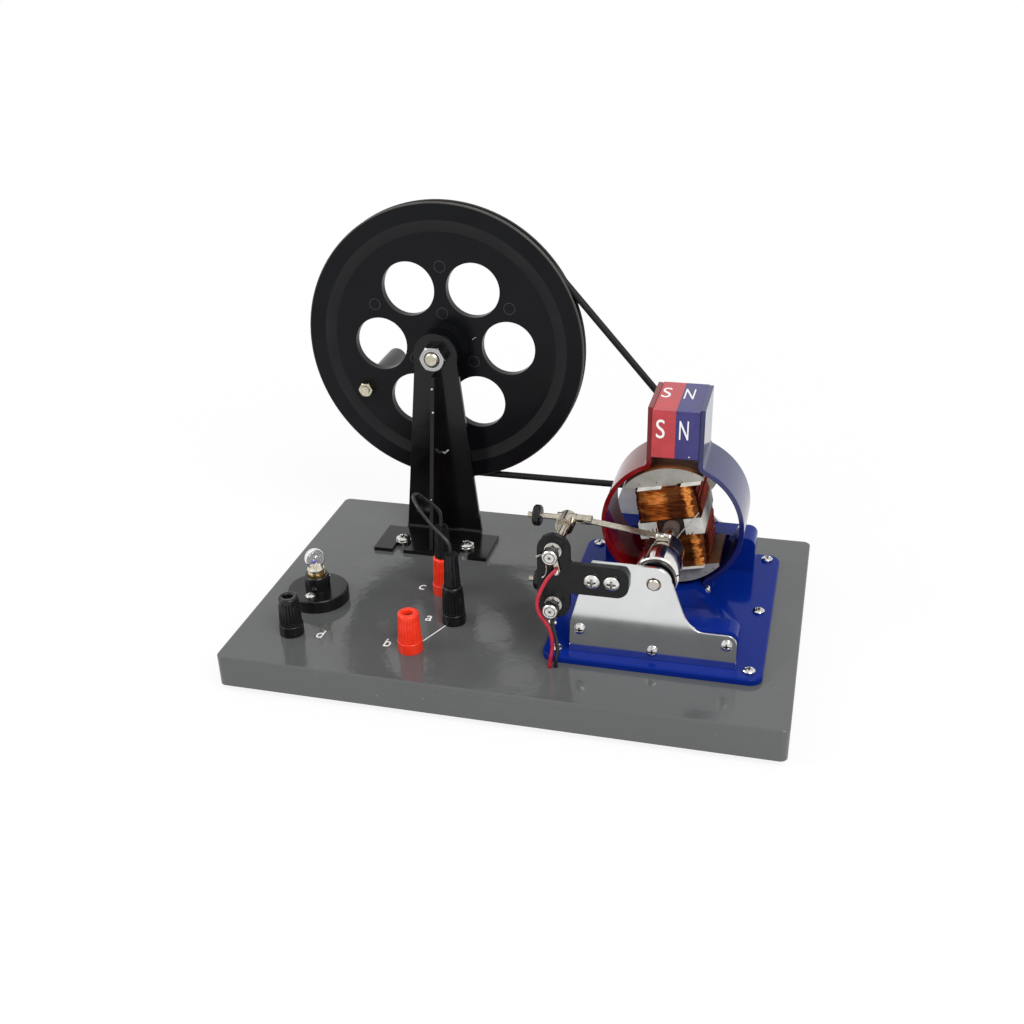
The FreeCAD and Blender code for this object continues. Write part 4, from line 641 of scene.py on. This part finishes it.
def turn_shares():
    """One turn round a rounded rectangle: signs (sv, sy) of the corner's centre and the angle f,
    so that v = sv (a - R) + R cos f and y = sy (b - R) + R sin f."""
    corners = np.array([(1, 1), (-1, 1), (-1, -1), (1, -1)])
    shares = np.arange(1, RUN_STEPS + 1) / (RUN_STEPS + 1)
    rows = []
    for k, here in enumerate(corners):
        angles = np.linspace(k, k + 1, CORNER_STEPS + 1) * math.pi / 2
        rows += [(*here, angle) for angle in angles]
        rows += [(*(here + (corners[(k + 1) % 4] - here) * s), angles[-1]) for s in shares]
    return np.array(rows)


def drifting(count, every, rng):
    """A normal draw at every so many points, with straight lines between."""
    return np.interp(np.arange(count), np.arange(0, count + every, every),
                     rng.normal(0, 1, count // every + 2))


def on_outline(corner, half, reach):
    """That outline's v and y: a is half, and arcs of radius reach turn about the same centres."""
    sv, sy, angle = corner
    return (sv * (half - COIL_CORNER) + reach * np.cos(angle),
            sy * (COIL_HALF_DEEP - COIL_CORNER) + reach * np.sin(angle))


def winding(heights, lift, sway, rng):
    """A wire wound round a pole: turn by turn its height along the pole goes through heights, and
    it lies lift outside the coil's rounded rectangle, whose half width falls with the height."""
    shares = turn_shares()
    steps = len(shares)
    turns = len(heights) - 1
    phase = np.arange(turns * steps + 1) / steps
    corner = shares[np.arange(turns * steps + 1) % steps].T
    wander = drifting(len(phase), 4, rng)
    rise = drifting(len(phase), 7, rng)
    u = np.interp(phase, np.arange(turns + 1), heights) + sway * rise
    u = np.clip(u, COIL_FOOT + WIRE_R, COIL_TOP - WIRE_R)
    share = (u - COIL_FOOT) / (COIL_TOP - COIL_FOOT)
    half = COIL_HALF_FOOT + (COIL_HALF_TOP - COIL_HALF_FOOT) * share
    v, y = on_outline(corner, half, COIL_CORNER + lift + 0.06 * wander)
    outward = np.stack([0 * u, np.sin(corner[2]), np.cos(corner[2])], -1)
    return np.stack([u, y, v], -1), outward


def coil_body(sink):
    """The coil under its outer wires: the same rounded rectangle, sunk inwards, at both heights."""
    rings = []
    for u, half in ((COIL_FOOT, COIL_HALF_FOOT), (COIL_TOP, COIL_HALF_TOP)):
        v, y = on_outline(turn_shares().T, half, COIL_CORNER - sink)
        rings.append(np.stack([v * 0 + u, y, v], -1))
    return np.stack(rings)


copper, tree, shader = new_material("enamelled_copper")
# Painted light on the wire: the attribute aside, roughened by noise, places painted shade and a painted
# highlight across each coil.
ragged = added(tree, "Math", noise(tree, 420.0, 2.0, 0.6), 0.16, stored(tree, "aside"),
               operation="MULTIPLY_ADD").outputs[0]
# Streaks along the wires, their brightest tones painted highlights.
strand = noise(tree, 260.0, 3.0, 0.6, (0.25, 1, 1))
gleam = ramp(tree, strand, [(0.36, (0.18, 0.036, 0.008)), (0.5, (0.6, 0.165, 0.026)),
                            (0.64, (1.0, 0.44, 0.11))])
# A painted highlight band along each coil's bend.
bend = ramp(tree, ragged, [(0.86, grey(0)), (0.89, grey(0.85)), (0.95, grey(0.85)), (0.97, grey(0))])
gleam = mixed(tree, bend, gleam, (1.0, 0.43, 0.1))
# Painted shade: darker at the coil's left edge, across its middle and on its right flank.
shade = ramp(tree, ragged, [(0.1, grey(0.75)), (0.26, grey(0)), (0.5, grey(0.1)), (0.6, grey(0.84)),
                            (0.82, grey(0.86)), (0.87, grey(0)), (0.975, grey(0)), (1.0, grey(0.9))])
set_inputs(shader, Base_Color=mixed(tree, shade, gleam, (0.06, 0.016, 0.009)), Metallic=0.85,
           Roughness=0.24, Specular_Tint=(0.7, 0.32, 0.2, 1))

BODY_SINK = 0.25  # of the plain body under the wires
LOOSE_LAYERS = 3  # wound at random over the even one
rng = np.random.default_rng(11)
evenly = np.linspace(COIL_FOOT + WIRE_R, COIL_TOP - WIRE_R, TURNS + 1)
parts = []
for k in range(POLES):
    points, faces = lattice(on_pole(coil_body(BODY_SINK), k))
    foot, top = np.arange(len(points)).reshape(2, -1)
    parts += [(points, faces), (points, [foot]), (points, [top])]
    layers = [winding(evenly + rng.normal(0, 0.05, TURNS + 1), 0.0, 0.05, rng)]
    for _ in range(LOOSE_LAYERS):
        stops = np.sort(rng.uniform(COIL_FOOT + 1, COIL_TOP - 1, 4))
        layers.append(winding(stops, 0.45, 0.1, rng))
    for path, outward in layers:
        bound = on_pole(outward, k) - on_pole(0 * outward, k)
        parts.append(tube(on_pole(path, k), bound, WIRE_R * MM))
coils = build("copper_windings", parts, copper, "armature", 60.0)
SHADE_FROM, SHADE_SPAN = 14.5, 31.0  # aside runs from 0 on a coil's left to 1 on its right
points = (mesh_points(coils.data) - (SHAFT_X, 0, SHAFT_Z)) / MM
turned = math.radians(POLE_ANGLE)
across = points[:, 2] * math.cos(turned) - points[:, 0] * math.sin(turned)
aside = coils.data.attributes.new("aside", "FLOAT", "POINT")
aside.data.foreach_set("value", np.clip((SHADE_FROM - across) / SHADE_SPAN, 0, 1))
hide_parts("armature_coils")

core_steel, tree, shader = new_material("core_steel")
parted = added(tree, "SeparateXYZ", object_place(tree))
aside = added(tree, "Math", parted.outputs["Y"], core_middle[1], operation="SUBTRACT")
depth = added(tree, "Math", aside.outputs[0], operation="ABSOLUTE")
half_core = (core_high[1] - core_low[1]) / 2
face = spread(tree, depth.outputs[0], 0.0, 1.0, half_core - 0.25 * MM, half_core - 0.05 * MM)
plain = ramp(tree, noise(tree, 180.0, 5.0, 0.6),
             [(0.3, (0.3, 0.29, 0.265)), (0.7, (0.4, 0.385, 0.355))])
pits = spread(tree, noise(tree, 520.0, 1.0), 0.0, 0.8, 0.7, 0.76)
plain = mixed(tree, pits, plain, (0.05, 0.04, 0.035))
lacquer = ramp(tree, noise(tree, 60.0, 5.0, 0.6, (1, 8, 1)),
               [(0.3, (0.16, 0.045, 0.012)), (0.7, (0.5, 0.17, 0.035))])
# Painted shade: the lacquer turns dark towards the core's lower side.
painted_lower_shade = spread(tree, parted.outputs["Z"], 0.75, 0.0, SHAFT_Z - 6 * MM, SHAFT_Z + 14 * MM)
lacquer = mixed(tree, painted_lower_shade, lacquer, (0.035, 0.012, 0.006))


def near_shaft(tree, colour, reach, dark):
    """Darken a colour within reach of the shaft's axis."""
    share = spread(tree, from_axis(tree, SHAFT_X, SHAFT_Z), 0.92, 0.0, reach * 0.75, reach)
    return mixed(tree, share, colour, dark)


plain = near_shaft(tree, plain, 12.5 * MM, (0.035, 0.018, 0.012))
BAND_SCALE = 100.0  # packs of sheets show as bands 3.1 mm wide
sheets = added(tree, "TexWave", object_place(tree), Scale=BAND_SCALE)
sheets.bands_direction = "Y"
relief(tree, shader, sheets.outputs["Fac"], 0.15, 0.00012)
set_inputs(shader, Base_Color=mixed(tree, face, lacquer, plain), Metallic=0.25, Roughness=0.42,
           Specular_IOR_Level=0.3)
clothe(core_steel, "armature_core")

paper, tree, shader = new_material("paper")
tone = ramp(tree, noise(tree, 160.0), [(0.35, (0.5, 0.49, 0.45)), (0.65, (0.66, 0.65, 0.61))])
set_inputs(shader, Base_Color=near_shaft(tree, tone, 7.0 * MM, (0.05, 0.022, 0.013)),
           Roughness=0.8, Specular_IOR_Level=0.3)
relief(tree, shader, noise(tree, 400.0, 4.0), 0.12)
clothe(paper, "slot_papers")
polished = finish("polished", (0.72, 0.68, 0.65), (0.82, 0.78, 0.75), 0.07, 300.0, 0.02, 1.0,
                  edge=0.2)
clothe(polished, "commutator_segments")
moulding = finish("moulding", (0.0038, 0.0038, 0.0042), (0.007, 0.007, 0.0078), 0.2, 150.0, 0.04,
                  edge=0.3, dust=0.2, shine=0.33)
clothe(moulding, "commutator_hub", "brush_knob_upper", "brush_knob_lower")
clothe(finish("ground_steel", (0.5, 0.47, 0.43), (0.56, 0.53, 0.48), 0.26, 220.0, 0.01, 1.0),
       "armature_shaft", "belt_pulley", "pulley_screw", "thrust_collar")


def strand_of(points, radius):
    """A wire through points: each coordinate is the cubic that numpy fits to its place along the
    wire, and a tube of that radius, in millimetres, follows it."""
    points = np.asarray(points)
    share = np.linspace(0, 1, len(points))
    fits = [np.polyfit(share, column, min(3, len(points) - 1)) for column in points.T]
    fine = np.linspace(0, 1, 18)
    path = np.stack([np.polyval(fit, fine) for fit in fits], -1)
    return tube(path, np.tile((0.12, -0.97, 0.2), (18, 1)), radius * MM)


ROOT_Y = -20.5  # the commutator's back, where the coils' ends are soldered
tinned = finish("tinned", (0.16, 0.155, 0.15), (0.34, 0.33, 0.32), 0.35, 700.0, 0.1, 0.8)
routes = [[(91.5, 2.0, 61.0), (87.8, -4.0, 57.7), (84.8, -9.0, 55.3), (81.2, ROOT_Y + 1.0, 53.0)],
          [(62.5, 3.0, 36.0), (67.5, -4.0, 40.3), (70.5, -12.0, 42.2), (72.6, ROOT_Y + 1.0, 43.6)]]
tails = [strand_of(spots(route), 0.36) for route in routes]
build("armature_tails", tails, tinned, "armature", 60.0)
SHAFT_SPOT = (77.0, 48.4)  # the shaft's axis, right of the board's middle and above its deck
copper_ends = []
for side in (1, -1):
    for k in range(4):
        route = [(12.0 - 2.2 * k, 2.0, 0.6 - 0.9 * k), (9.0 - 1.5 * k, -6.0, -0.9 - 0.3 * k),
                 (5.4 - k, ROOT_Y + 1.0, -1.2 + 0.5 * k)]
        copper_ends.append(strand_of([spot(SHAFT_SPOT[0] + side * x, y, SHAFT_SPOT[1] + side * up)
                                      for x, y, up in route], 0.3))
build("coil_ends", copper_ends, copper, "armature", 60.0)


# ---- Brush gear ----
# A black insulating T plate carries two nickelled terminal rods with their nuts and clamps. In
# each clamp a cross rod holds a spring strip on the commutator, and the leads go to the deck.

clothe(finish("laminate", (0.004, 0.004, 0.0048), (0.0075, 0.0075, 0.0085), 0.3, 300.0, 0.1,
       edge=0.4, dust=0.25, shine=0.24), "brush_plate")
nickel = finish("nickel", (0.42, 0.38, 0.31), (0.56, 0.52, 0.44), 0.2, 600.0, 0.05, 1.0, edge=0.2)
clothe(nickel, "terminal_rods", "terminal_lugs", "brush_clamp_upper", "brush_clamp_lower",
       "brush_strip_upper", "brush_strip_lower")
bright_nickel = plating("bright_nickel", (0.84, 0.83, 0.8), (0.26, 0.26, 0.25), 0.24)

BRUSH_PLATE_HEAD = (2.0, 4.0, 2.6)
BRUSH_SCREW_GAP = 10.0
low, high, middle = node_box("brush_plate_screws")
NUT_FLATS, NUT_H = 7.0, 3.2
seat = low[1] + BRUSH_PLATE_HEAD[2] * MM
length = (high[1] - seat) / MM
wall_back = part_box("front_plate")[1][1]
parts = []
for side in (-1, 1):
    x = middle[0] + side * BRUSH_SCREW_GAP / 2 * MM
    parts += cross_screw((x, seat, SHAFT_Z), FORWARDS, *BRUSH_PLATE_HEAD, length)
    parts.append(hex_nut((x, wall_back, SHAFT_Z), BACKWARDS, NUT_FLATS, NUT_H,
                         BRUSH_PLATE_HEAD[0] + 0.05))
set_of_screws("brush_plate_screws", parts, bright_nickel)

CAP_R, CAP_L = 4.0, 4.9  # knurled end caps on the terminal rods
ROD_R = 2.05
RIDGES = 26
low, high, middle = node_box("terminal_nuts")
WASHER_R = (high[0] - low[0]) / 2 / MM
long = (high[1] - low[1]) / MM
angle = full_circle(RIDGES * 6)
# radius, distance from the face and depth of shade: centre hole, ring groove, rim and back
radius, height, groove = np.array([
    (0.75, 1.1, 1.3), (0.75, 0, 0.5), (2.3, 0, 0), (2.5, 0.35, 1.2), (2.8, 0.35, 1.2), (3.0, 0, 0),
    (CAP_R - 0.5, 0, 0), (CAP_R, 0.5, 0.9), (CAP_R, CAP_L - 0.3, 0.2), (CAP_R - 0.3, CAP_L, 0.7),
    (ROD_R, CAP_L, 0), (ROD_R, 1.1, 0), (0.75, 1.1, 1)]).T[..., None]
knurl = 0.12 * np.cos(RIDGES * angle) * ((radius > CAP_R - 0.1) & (height > 0.6))
# Painted shade also deepens in the knurl's valleys.
depth = (groove - 2.5 * np.minimum(knurl, 0)).ravel()
ring = spun(radius + knurl, height, angle)
parts = []
for z in (low[2] + WASHER_R * MM, high[2] - WASHER_R * MM):
    at = np.array((middle[0], low[1], z))
    parts.append((*lattice(aimed(ring, at, BACKWARDS)), depth))
    parts.append(washer(at + (0, (long - 0.8) * MM, 0), BACKWARDS, WASHER_R, ROD_R, 0.8))
    parts.append(hex_nut(at + (0, CAP_L * MM, 0), BACKWARDS, NUT_FLATS, long - 1.0 - CAP_L, ROD_R))
terminals = build("terminal_nuts_knurled", parts, bright_nickel, "base")
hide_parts("terminal_nuts")

solder = finish("solder", (0.5, 0.48, 0.44), (0.68, 0.66, 0.62), 0.28, 500.0, 0.15, 1.0)
loose = [[(21.9, -60.2, 60.9), (20.4, -60.4, 60.6), (19.2, -60.5, 60.3), (18.4, -60.4, 59.0)],
         [(22.6, -60.0, 60.0), (20.6, -60.2, 61.2), (19.0, -60.3, 60.7), (17.9, -60.3, 59.8)],
         [(22.9, -60.0, 56.0), (23.6, -60.2, 53.2), (23.1, -60.3, 50.3), (20.9, -60.2, 47.8)],
         [(23.1, -60.0, 55.0), (23.2, -60.4, 52.0), (22.2, -60.4, 49.4), (20.7, -60.3, 48.5)]]
parts = [strand_of(spots(line), 0.17) for line in loose]
for x, up, across, along in ((28.4, 51.7, 1.6, 1.1), (25.4, 22.6, 1.5, 1.3), (27.6, 22.3, 1.2, 1.1)):
    bend = np.linspace(-math.pi / 2, math.pi / 2, 9)
    drop = [(across * math.cos(a), along * math.sin(a)) for a in bend]
    parts.append(revolved(drop, spot(x, -60.6, up), FORWARDS, 18))
build("solder_and_strands", parts, solder, "base", 60.0)

outline = [(0, 0), (0.75, 0), (0.95, 0.3), (0.95, 3.6), (0.7, 4.0), (0, 4.0)]
prongs = [revolved(outline, spot(x, -27.0, up), (0.94, -0.15, -0.1), 16)
          for x, up in ((73.4, 61.0), (77.2, 61.4))]
build("brush_clip", prongs, plated, "brush_upper")


def lead(name, route, diameter, material, body):
    """A round flexible lead: a NURBS curve with the route's points, in metres, as its controls."""
    curve = bpy.data.curves.new(name, "CURVE")
    curve.dimensions = "3D"
    curve.bevel_depth = diameter / 2 * MM
    curve.bevel_resolution = 5
    curve.use_fill_caps = True
    spline = curve.splines.new("NURBS")
    spline.points.add(len(route) - 1)
    spline.points.foreach_set("co", np.insert(route, 3, 1.0, axis=1).ravel())
    spline.order_u = 3
    spline.use_endpoint_u = True
    spline.resolution_u = 10
    curve.materials.append(material)
    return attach(placed(name, curve), body)


WIRE_D = 2.0
LUG_SEAT = -61.35  # the wires' middle where they lie on the terminal lugs
red_cover = finish("red_cover", (0.38, 0.004, 0.02), (0.46, 0.006, 0.03), 0.25, 300.0, 0.02)
black_cover = finish("black_cover", grey(0.006), grey(0.011), 0.3, 300.0, 0.02)
red_route = spots([
    (28.6, LUG_SEAT, 54.0), (25.4, LUG_SEAT - 1.2, 51.0), (22.6, LUG_SEAT - 2.8, 46.0),
    (20.3, LUG_SEAT - 4.4, 40.6), (19.4, LUG_SEAT - 5.3, 35.2), (21.2, LUG_SEAT - 5.7, 29.9),
    (24.8, LUG_SEAT - 5.6, 25.2), (27.2, LUG_SEAT - 5.2, 18.5), (27.9, LUG_SEAT - 5.8, 10.5),
    (26.6, -68.6, 4.2), (26.6, -68.6, -3.0)])
red_wire = lead("red_lead", red_route, WIRE_D, red_cover, "base")
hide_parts("red_wire")
black_route = spots([
    (26.1, LUG_SEAT, 24.4), (27.4, LUG_SEAT - 1.2, 18.8), (29.3, LUG_SEAT - 2.8, 13.1),
    (30.2, LUG_SEAT - 4.4, 8.3), (29.3, -67.3, 3.6), (29.3, -67.3, -3.0)])
black_wire = lead("black_lead", black_route, WIRE_D, black_cover, "base")
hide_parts("black_wire")


# ---- Binding posts ----
# Fluted moulded caps, red on posts b and c and black on a and d, that screw down on nickelled
# studs over a collar of the same colour. Nuts under the deck hold the studs.

POST_FOOT_R, POST_TIP_R = 6.3, 5.6
POST_MOUTH_R, POST_BORE_R = 2.75, 3.06
POST_BORE_H = 13.6  # how high the stud's bore goes; the plug's mouth is above it
POST_CROWN = 1.1  # the radius of the top's round edge
POST_FLUTES, POST_FLUTE_DEEP = 20, 0.5
post_red = finish("post_red", (0.84, 0.032, 0.008), (0.9, 0.042, 0.012), 0.16, 200.0, 0.02,
                  edge=0.25, shine=0.38)
clothe(post_red, "post_collars_red")
clothe(moulding, "post_collars_black")
clothe(nickel, "post_studs")


def fluted_cap(name):
    """Cap's skin, carried up its side, over the crown and down its bore. The side's radius is
    r - d (1 - |cos(n t / 2)|) w(h): n flutes of depth d that fade out under the crown."""
    low, high, middle = node_box(name)
    height = (high[2] - low[2]) / MM
    side = np.linspace(0, height - POST_CROWN, 26)
    taper = POST_FOOT_R + (POST_TIP_R - POST_FOOT_R) * side / height
    bend = np.linspace(0, math.pi / 2, 6)[1:]
    crown_r = POST_TIP_R - POST_CROWN * (1 - np.cos(bend))
    crown_h = height - POST_CROWN + POST_CROWN * np.sin(bend)
    inner = [(POST_MOUTH_R + 0.4, height), (POST_MOUTH_R, height - 0.4), (POST_MOUTH_R, POST_BORE_H),
             (POST_BORE_R, POST_BORE_H), (POST_BORE_R, 0)]
    profile = np.concatenate([np.stack([taper, side], 1), np.stack([crown_r, crown_h], 1), inner,
                              [(POST_FOOT_R, 0)]])
    angle = full_circle(POST_FLUTES * 8)
    fade = np.clip((height - 2.6 - profile[:, 1]) / 1.6, 0, 1) * (profile[:, 0] > POST_TIP_R - 0.2)
    fade *= np.clip(profile[:, 1] / 0.6 + 0.4, 0, 1)
    groove = POST_FLUTE_DEEP * (1 - abs(np.cos(POST_FLUTES * angle / 2)))
    radius = profile[:, :1] - groove * fade[:, None]
    points = spun(radius, profile[:, 1:], angle)
    return lattice(aimed(points, (middle[0], middle[1], low[2]), UPWARDS))


for letter in "abcd":
    name = "post_cap_" + letter
    material, finish_slot = (post_red, "red_moulding") if letter in "bc" else (moulding, "black_moulding")
    cap = build(name + "_fluted", [fluted_cap(name)], material, "cap_" + letter, 50.0)
    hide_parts(name)


# ---- Jumper ----
# A short flexible lead, moulded at both ends into ribbed black banana plugs. One stands in the
# socket of post a and the other in that of post c.

LEAD_D = 1.8
PLUG_TOP = 42.3  # above the deck
POST_A, POST_C = (-35.0, -35.7), (-49.6, -6.0)
clothe(finish("plug_black", (0.004, 0.004, 0.0045), (0.0075, 0.0075, 0.008), 0.3, 200.0, 0.06,
       edge=0.15, dust=0.2, shine=0.33), "jumper_plugs")
from_a = [(0.0, 0.0, 0.0), (0.0, 0.0, 3.9), (-1.9, 0.5, 7.1), (-5.2, 1.6, 9.8), (-10.5, 3.6, 13.4),
          (-15.8, 6.2, 17.8), (-21.0, 9.8, 21.8), (-25.2, 15.7, 24.0)]
from_c = [(-11.0, -7.0, 23.0), (-6.7, -2.0, 16.2), (-1.5, 0.0, 11.1), (0.4, 0.5, 5.7), (0.0, 0.0, 0.0)]
jumper_route = [spot(post[0] + x, post[1] + y, PLUG_TOP + up)
                for post, bends in ((POST_A, from_a), (POST_C, from_c)) for x, y, up in bends]
jumper = lead("jumper_flex", jumper_route, LEAD_D, black_cover, "jumper")
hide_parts("jumper_lead")


# ---- Lamp ----
# A round black holder with a thin brass screw shell. The miniature bulb has a nickelled threaded
# cap, a thin clear globe, and a blue glass bead that holds two wires with a fine filament.

clothe(moulding, "lamp_holder")
low, high, middle = node_box("lamp_screws")
seat = high[2] - M3_HEAD[2] * MM
parts = []
for y in (low[1] + M3_INSET, high[1] - M3_INSET):
    parts += cross_screw((middle[0], y, seat), UPWARDS, *M3_HEAD, (seat - low[2]) / MM)
set_of_screws("lamp_screws", parts)


def threaded(radius, low, high, pitch, depth, at, wall=0.0):
    """A rolled thread: r + d cos(2 pi h / p - t), fading out at both ends. It is solid or, with
    a wall, closed back down the inside."""
    angle = full_circle(48)
    height = np.linspace(low, high, int((high - low) / pitch * 10) + 1)[:, None]
    fade = np.clip((height - low) / pitch, 0, 1) * np.clip((high - height) / pitch, 0, 1)
    skin = spun(radius + depth * fade * np.cos(2 * math.pi * height / pitch - angle), height, angle)
    if wall:
        inner = (radius - wall) / radius
        loop = [skin, skin[::-1] * (inner, inner, 1), skin[:1]]
    else:
        loop = [skin[:1] * (0, 0, 1), skin, skin[-1:] * (0, 0, 1)]
    return lattice(aimed(np.concatenate(loop), at, UPWARDS))


shell_low, shell_high, middle = node_box("lamp_shell")
lamp_at = middle * (1, 1, 0)
cap_low, cap_high, _ = node_box("bulb_cap")
glass_low, glass_high, _ = node_box("bulb_glass")
thin_brass = finish("thin_brass", (0.6, 0.4, 0.12), (0.75, 0.54, 0.2), 0.18, 500.0, 0.05, 1.0)
cap_metal = finish("cap_metal", (0.62, 0.56, 0.44), (0.78, 0.73, 0.6), 0.16, 500.0, 0.05, 1.0)
SHELL_WALL = 0.3
shell_r = (shell_high[0] - shell_low[0]) / 2 / MM
shell = build("lamp_shell_threaded",
              [threaded(shell_r - 0.22, shell_low[2] / MM, shell_high[2] / MM, 2.6, 0.2, lamp_at,
                        SHELL_WALL)], thin_brass, "base", 60.0)
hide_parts("lamp_shell")

CAP_R = 4.6
COLLAR_H, CONTACT_H = 1.6, 1.1
collar_foot = cap_high[2] / MM - COLLAR_H
cap_foot = cap_low[2] / MM + CONTACT_H
collar = [(0, 0), (4.3, 0), (4.8, 0.5), (4.95, 1.1), (4.8, COLLAR_H), (0, COLLAR_H)]
contact = [(0, 0), (1.2, 0), (2.0, CONTACT_H - 0.4), (2.2, CONTACT_H + 0.3), (0, CONTACT_H + 0.3)]
cap = build("bulb_cap_threaded",
            [threaded(CAP_R - 0.25, cap_foot, collar_foot + 0.2, 2.6, 0.22, lamp_at),
             revolved(collar, lamp_at + (0, 0, collar_foot * MM), UPWARDS),
             revolved(contact, lamp_at + (0, 0, cap_low[2]), UPWARDS)], cap_metal, "bulb", 60.0)
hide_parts("bulb_cap")

GLOBE_R = (glass_high[0] - glass_low[0]) / 2 / MM
GLOBE_MIDDLE = glass_high[2] / MM - GLOBE_R
GLASS_WALL = 0.4
NECK_R = 4.2
neck_foot = glass_low[2] / MM


def glass_profile(sink):
    """The bulb's outline at a depth in the glass: the neck and then the globe's arc to its top."""
    radius, neck = GLOBE_R - sink, NECK_R - sink
    start = math.acos(neck / radius)
    arc = np.linspace(-start, math.pi / 2, 22)
    points = [(neck, neck_foot + 0.02)]
    points += [(max(radius * math.cos(a), 0.0), GLOBE_MIDDLE + radius * math.sin(a)) for a in arc]
    return points


clear_glass, tree, shader = new_material("clear_glass")
set_inputs(shader, Base_Color=(0.98, 0.985, 0.99, 1), Transmission_Weight=1.0, IOR=1.47,
           Roughness=spread(tree, noise(tree, 200.0), 0.0, 0.03))
outer, inner = glass_profile(0.0), glass_profile(GLASS_WALL)
globe = build("bulb_globe", [revolved(outer + inner[::-1] + outer[:1], lamp_at, UPWARDS, 56)],
              clear_glass, "bulb", 50.0)
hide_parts("bulb_glass")

blue_bead = finish("blue_bead", (0.03, 0.03, 0.5), (0.05, 0.05, 0.7), 0.15, 900.0)
arc = np.linspace(-math.pi / 2, math.pi / 2, 12)
bead = [(1.0 * math.cos(a), neck_foot + 3.6 + 1.25 * math.sin(a)) for a in arc]
bead_at = lamp_at + (-0.5 * MM, 0, 0)
bead = build("bulb_bead", [revolved(bead, bead_at, UPWARDS, 24)], blue_bead, "bulb")
filament_wire = finish("filament_wire", (0.5, 0.49, 0.47), (0.62, 0.6, 0.58), 0.25, 900.0, 0, 1.0)
parts = []
for side in (-1, 1):
    rise = np.linspace(0, 1, 14)
    path = np.stack([side * (0.5 + 1.9 * rise ** 1.6), 0.4 * side * rise,
                     neck_foot - 0.4 + 7.2 * rise], -1) * MM + bead_at
    parts.append(tube(path, np.tile((0.0, 1.0, 0.0), (14, 1)), 0.16 * MM))
sweep = np.linspace(-1, 1, 60)
path = np.stack([2.4 * sweep, 0.4 * sweep + 0.22 * np.cos(40 * sweep),
                 neck_foot + 6.9 - 0.7 * (1 - sweep ** 2) + 0.22 * np.sin(40 * sweep)], -1) * MM + bead_at
parts.append(tube(path, np.tile((0.0, 1.0, 0.3), (60, 1)), 0.07 * MM, 5))
build("bulb_filament", parts, filament_wire, "bulb", 60.0)


# ---- Studio ----
# A pale floor that keeps the object's shadow near it and turns plain white further out, two soft
# lamps under an even white sky, and the camera.

FLOOR_HALF = 6.0
PLAIN_FROM, PLAIN_TO = 0.22, 0.6  # distance from the middle over which the floor turns plain white


def seen_or_mirrored(tree):
    """1 for rays from the camera, off polished things and through glass, else 0."""
    path = added(tree, "LightPath")
    largest = path.outputs["Is Camera Ray"]
    for kind in ("Is Glossy Ray", "Is Transmission Ray"):
        largest = added(tree, "Math", largest, path.outputs[kind], operation="MAXIMUM").outputs[0]
    return largest


floor_mesh = bpy.data.meshes.new("floor")
floor_mesh.from_pydata([(x, y, 0) for y in (-FLOOR_HALF, FLOOR_HALF)
                        for x in (-FLOOR_HALF, FLOOR_HALF)], [], [(0, 1, 3, 2)])
placed("floor", floor_mesh)
floor_white, tree, shader = new_material("floor_white")
floor_mesh.materials.append(floor_white)
set_inputs(shader, Base_Color=(0.9, 0.9, 0.9, 1), Roughness=0.9, Specular_IOR_Level=0.0)
length = added(tree, "VectorMath", object_place(tree), operation="LENGTH")
share = spread(tree, length.outputs["Value"], 0.88, 1.0, PLAIN_FROM, PLAIN_TO)
seen = added(tree, "Math", share, seen_or_mirrored(tree), operation="MULTIPLY")
glow = added(tree, "Emission", Color=(1, 1, 1, 1), Strength=1.0)
blend = added(tree, "MixShader", seen.outputs[0], shader.outputs["BSDF"], glow.outputs["Emission"])
set_inputs(tree.nodes["Material Output"], Surface=blend.outputs["Shader"])

world = bpy.data.worlds.new("studio")
bpy.context.scene.world = world
world.use_nodes = True
tree = world.node_tree
brightness = added(tree, "MapRange", seen_or_mirrored(tree), To_Min=0.62, To_Max=1.0)
set_inputs(tree.nodes["Background"], Color=(1, 1, 1, 1), Strength=brightness.outputs["Result"])


def lamp(name, place, aim, size, power):
    """A square soft lamp at place, facing the point aim."""
    light = bpy.data.lights.new(name, "AREA")
    light.size = size
    light.energy = power
    thing = placed(name, light)
    thing.location = place
    thing.rotation_euler = (Vector(aim) - Vector(place)).to_track_quat("-Z", "Y").to_euler()


lamp("key", (0.9, -0.9, 1.5), (0, 0, 0.05), 0.9, 22)
lamp("fill", (-1.3, -0.6, 1.1), (0, 0, 0.05), 0.8, 8)

AIM = (-0.029835, 0.013486, 0.022)
DISTANCE = 0.743171
AZIMUTH, ELEVATION, ROLL = math.radians(16.302), math.radians(29.061), math.radians(-2.077)
lens = bpy.data.cameras.new("camera")
lens.lens = 43.694
lens.shift_x = 0.02017
lens.shift_y = 0.04835
camera = placed("camera", lens)
camera.matrix_world = (Matrix.Translation(AIM) @ Matrix.Rotation(AZIMUTH, 4, "Z")
                       @ Matrix.Rotation(math.pi / 2 - ELEVATION, 4, "X")
                       @ Matrix.Rotation(ROLL, 4, "Z") @ Matrix.Translation((0, 0, DISTANCE)))
bpy.context.scene.camera = camera
bpy.context.scene.view_settings.view_transform = "Standard"

bpy.context.view_layer.update()
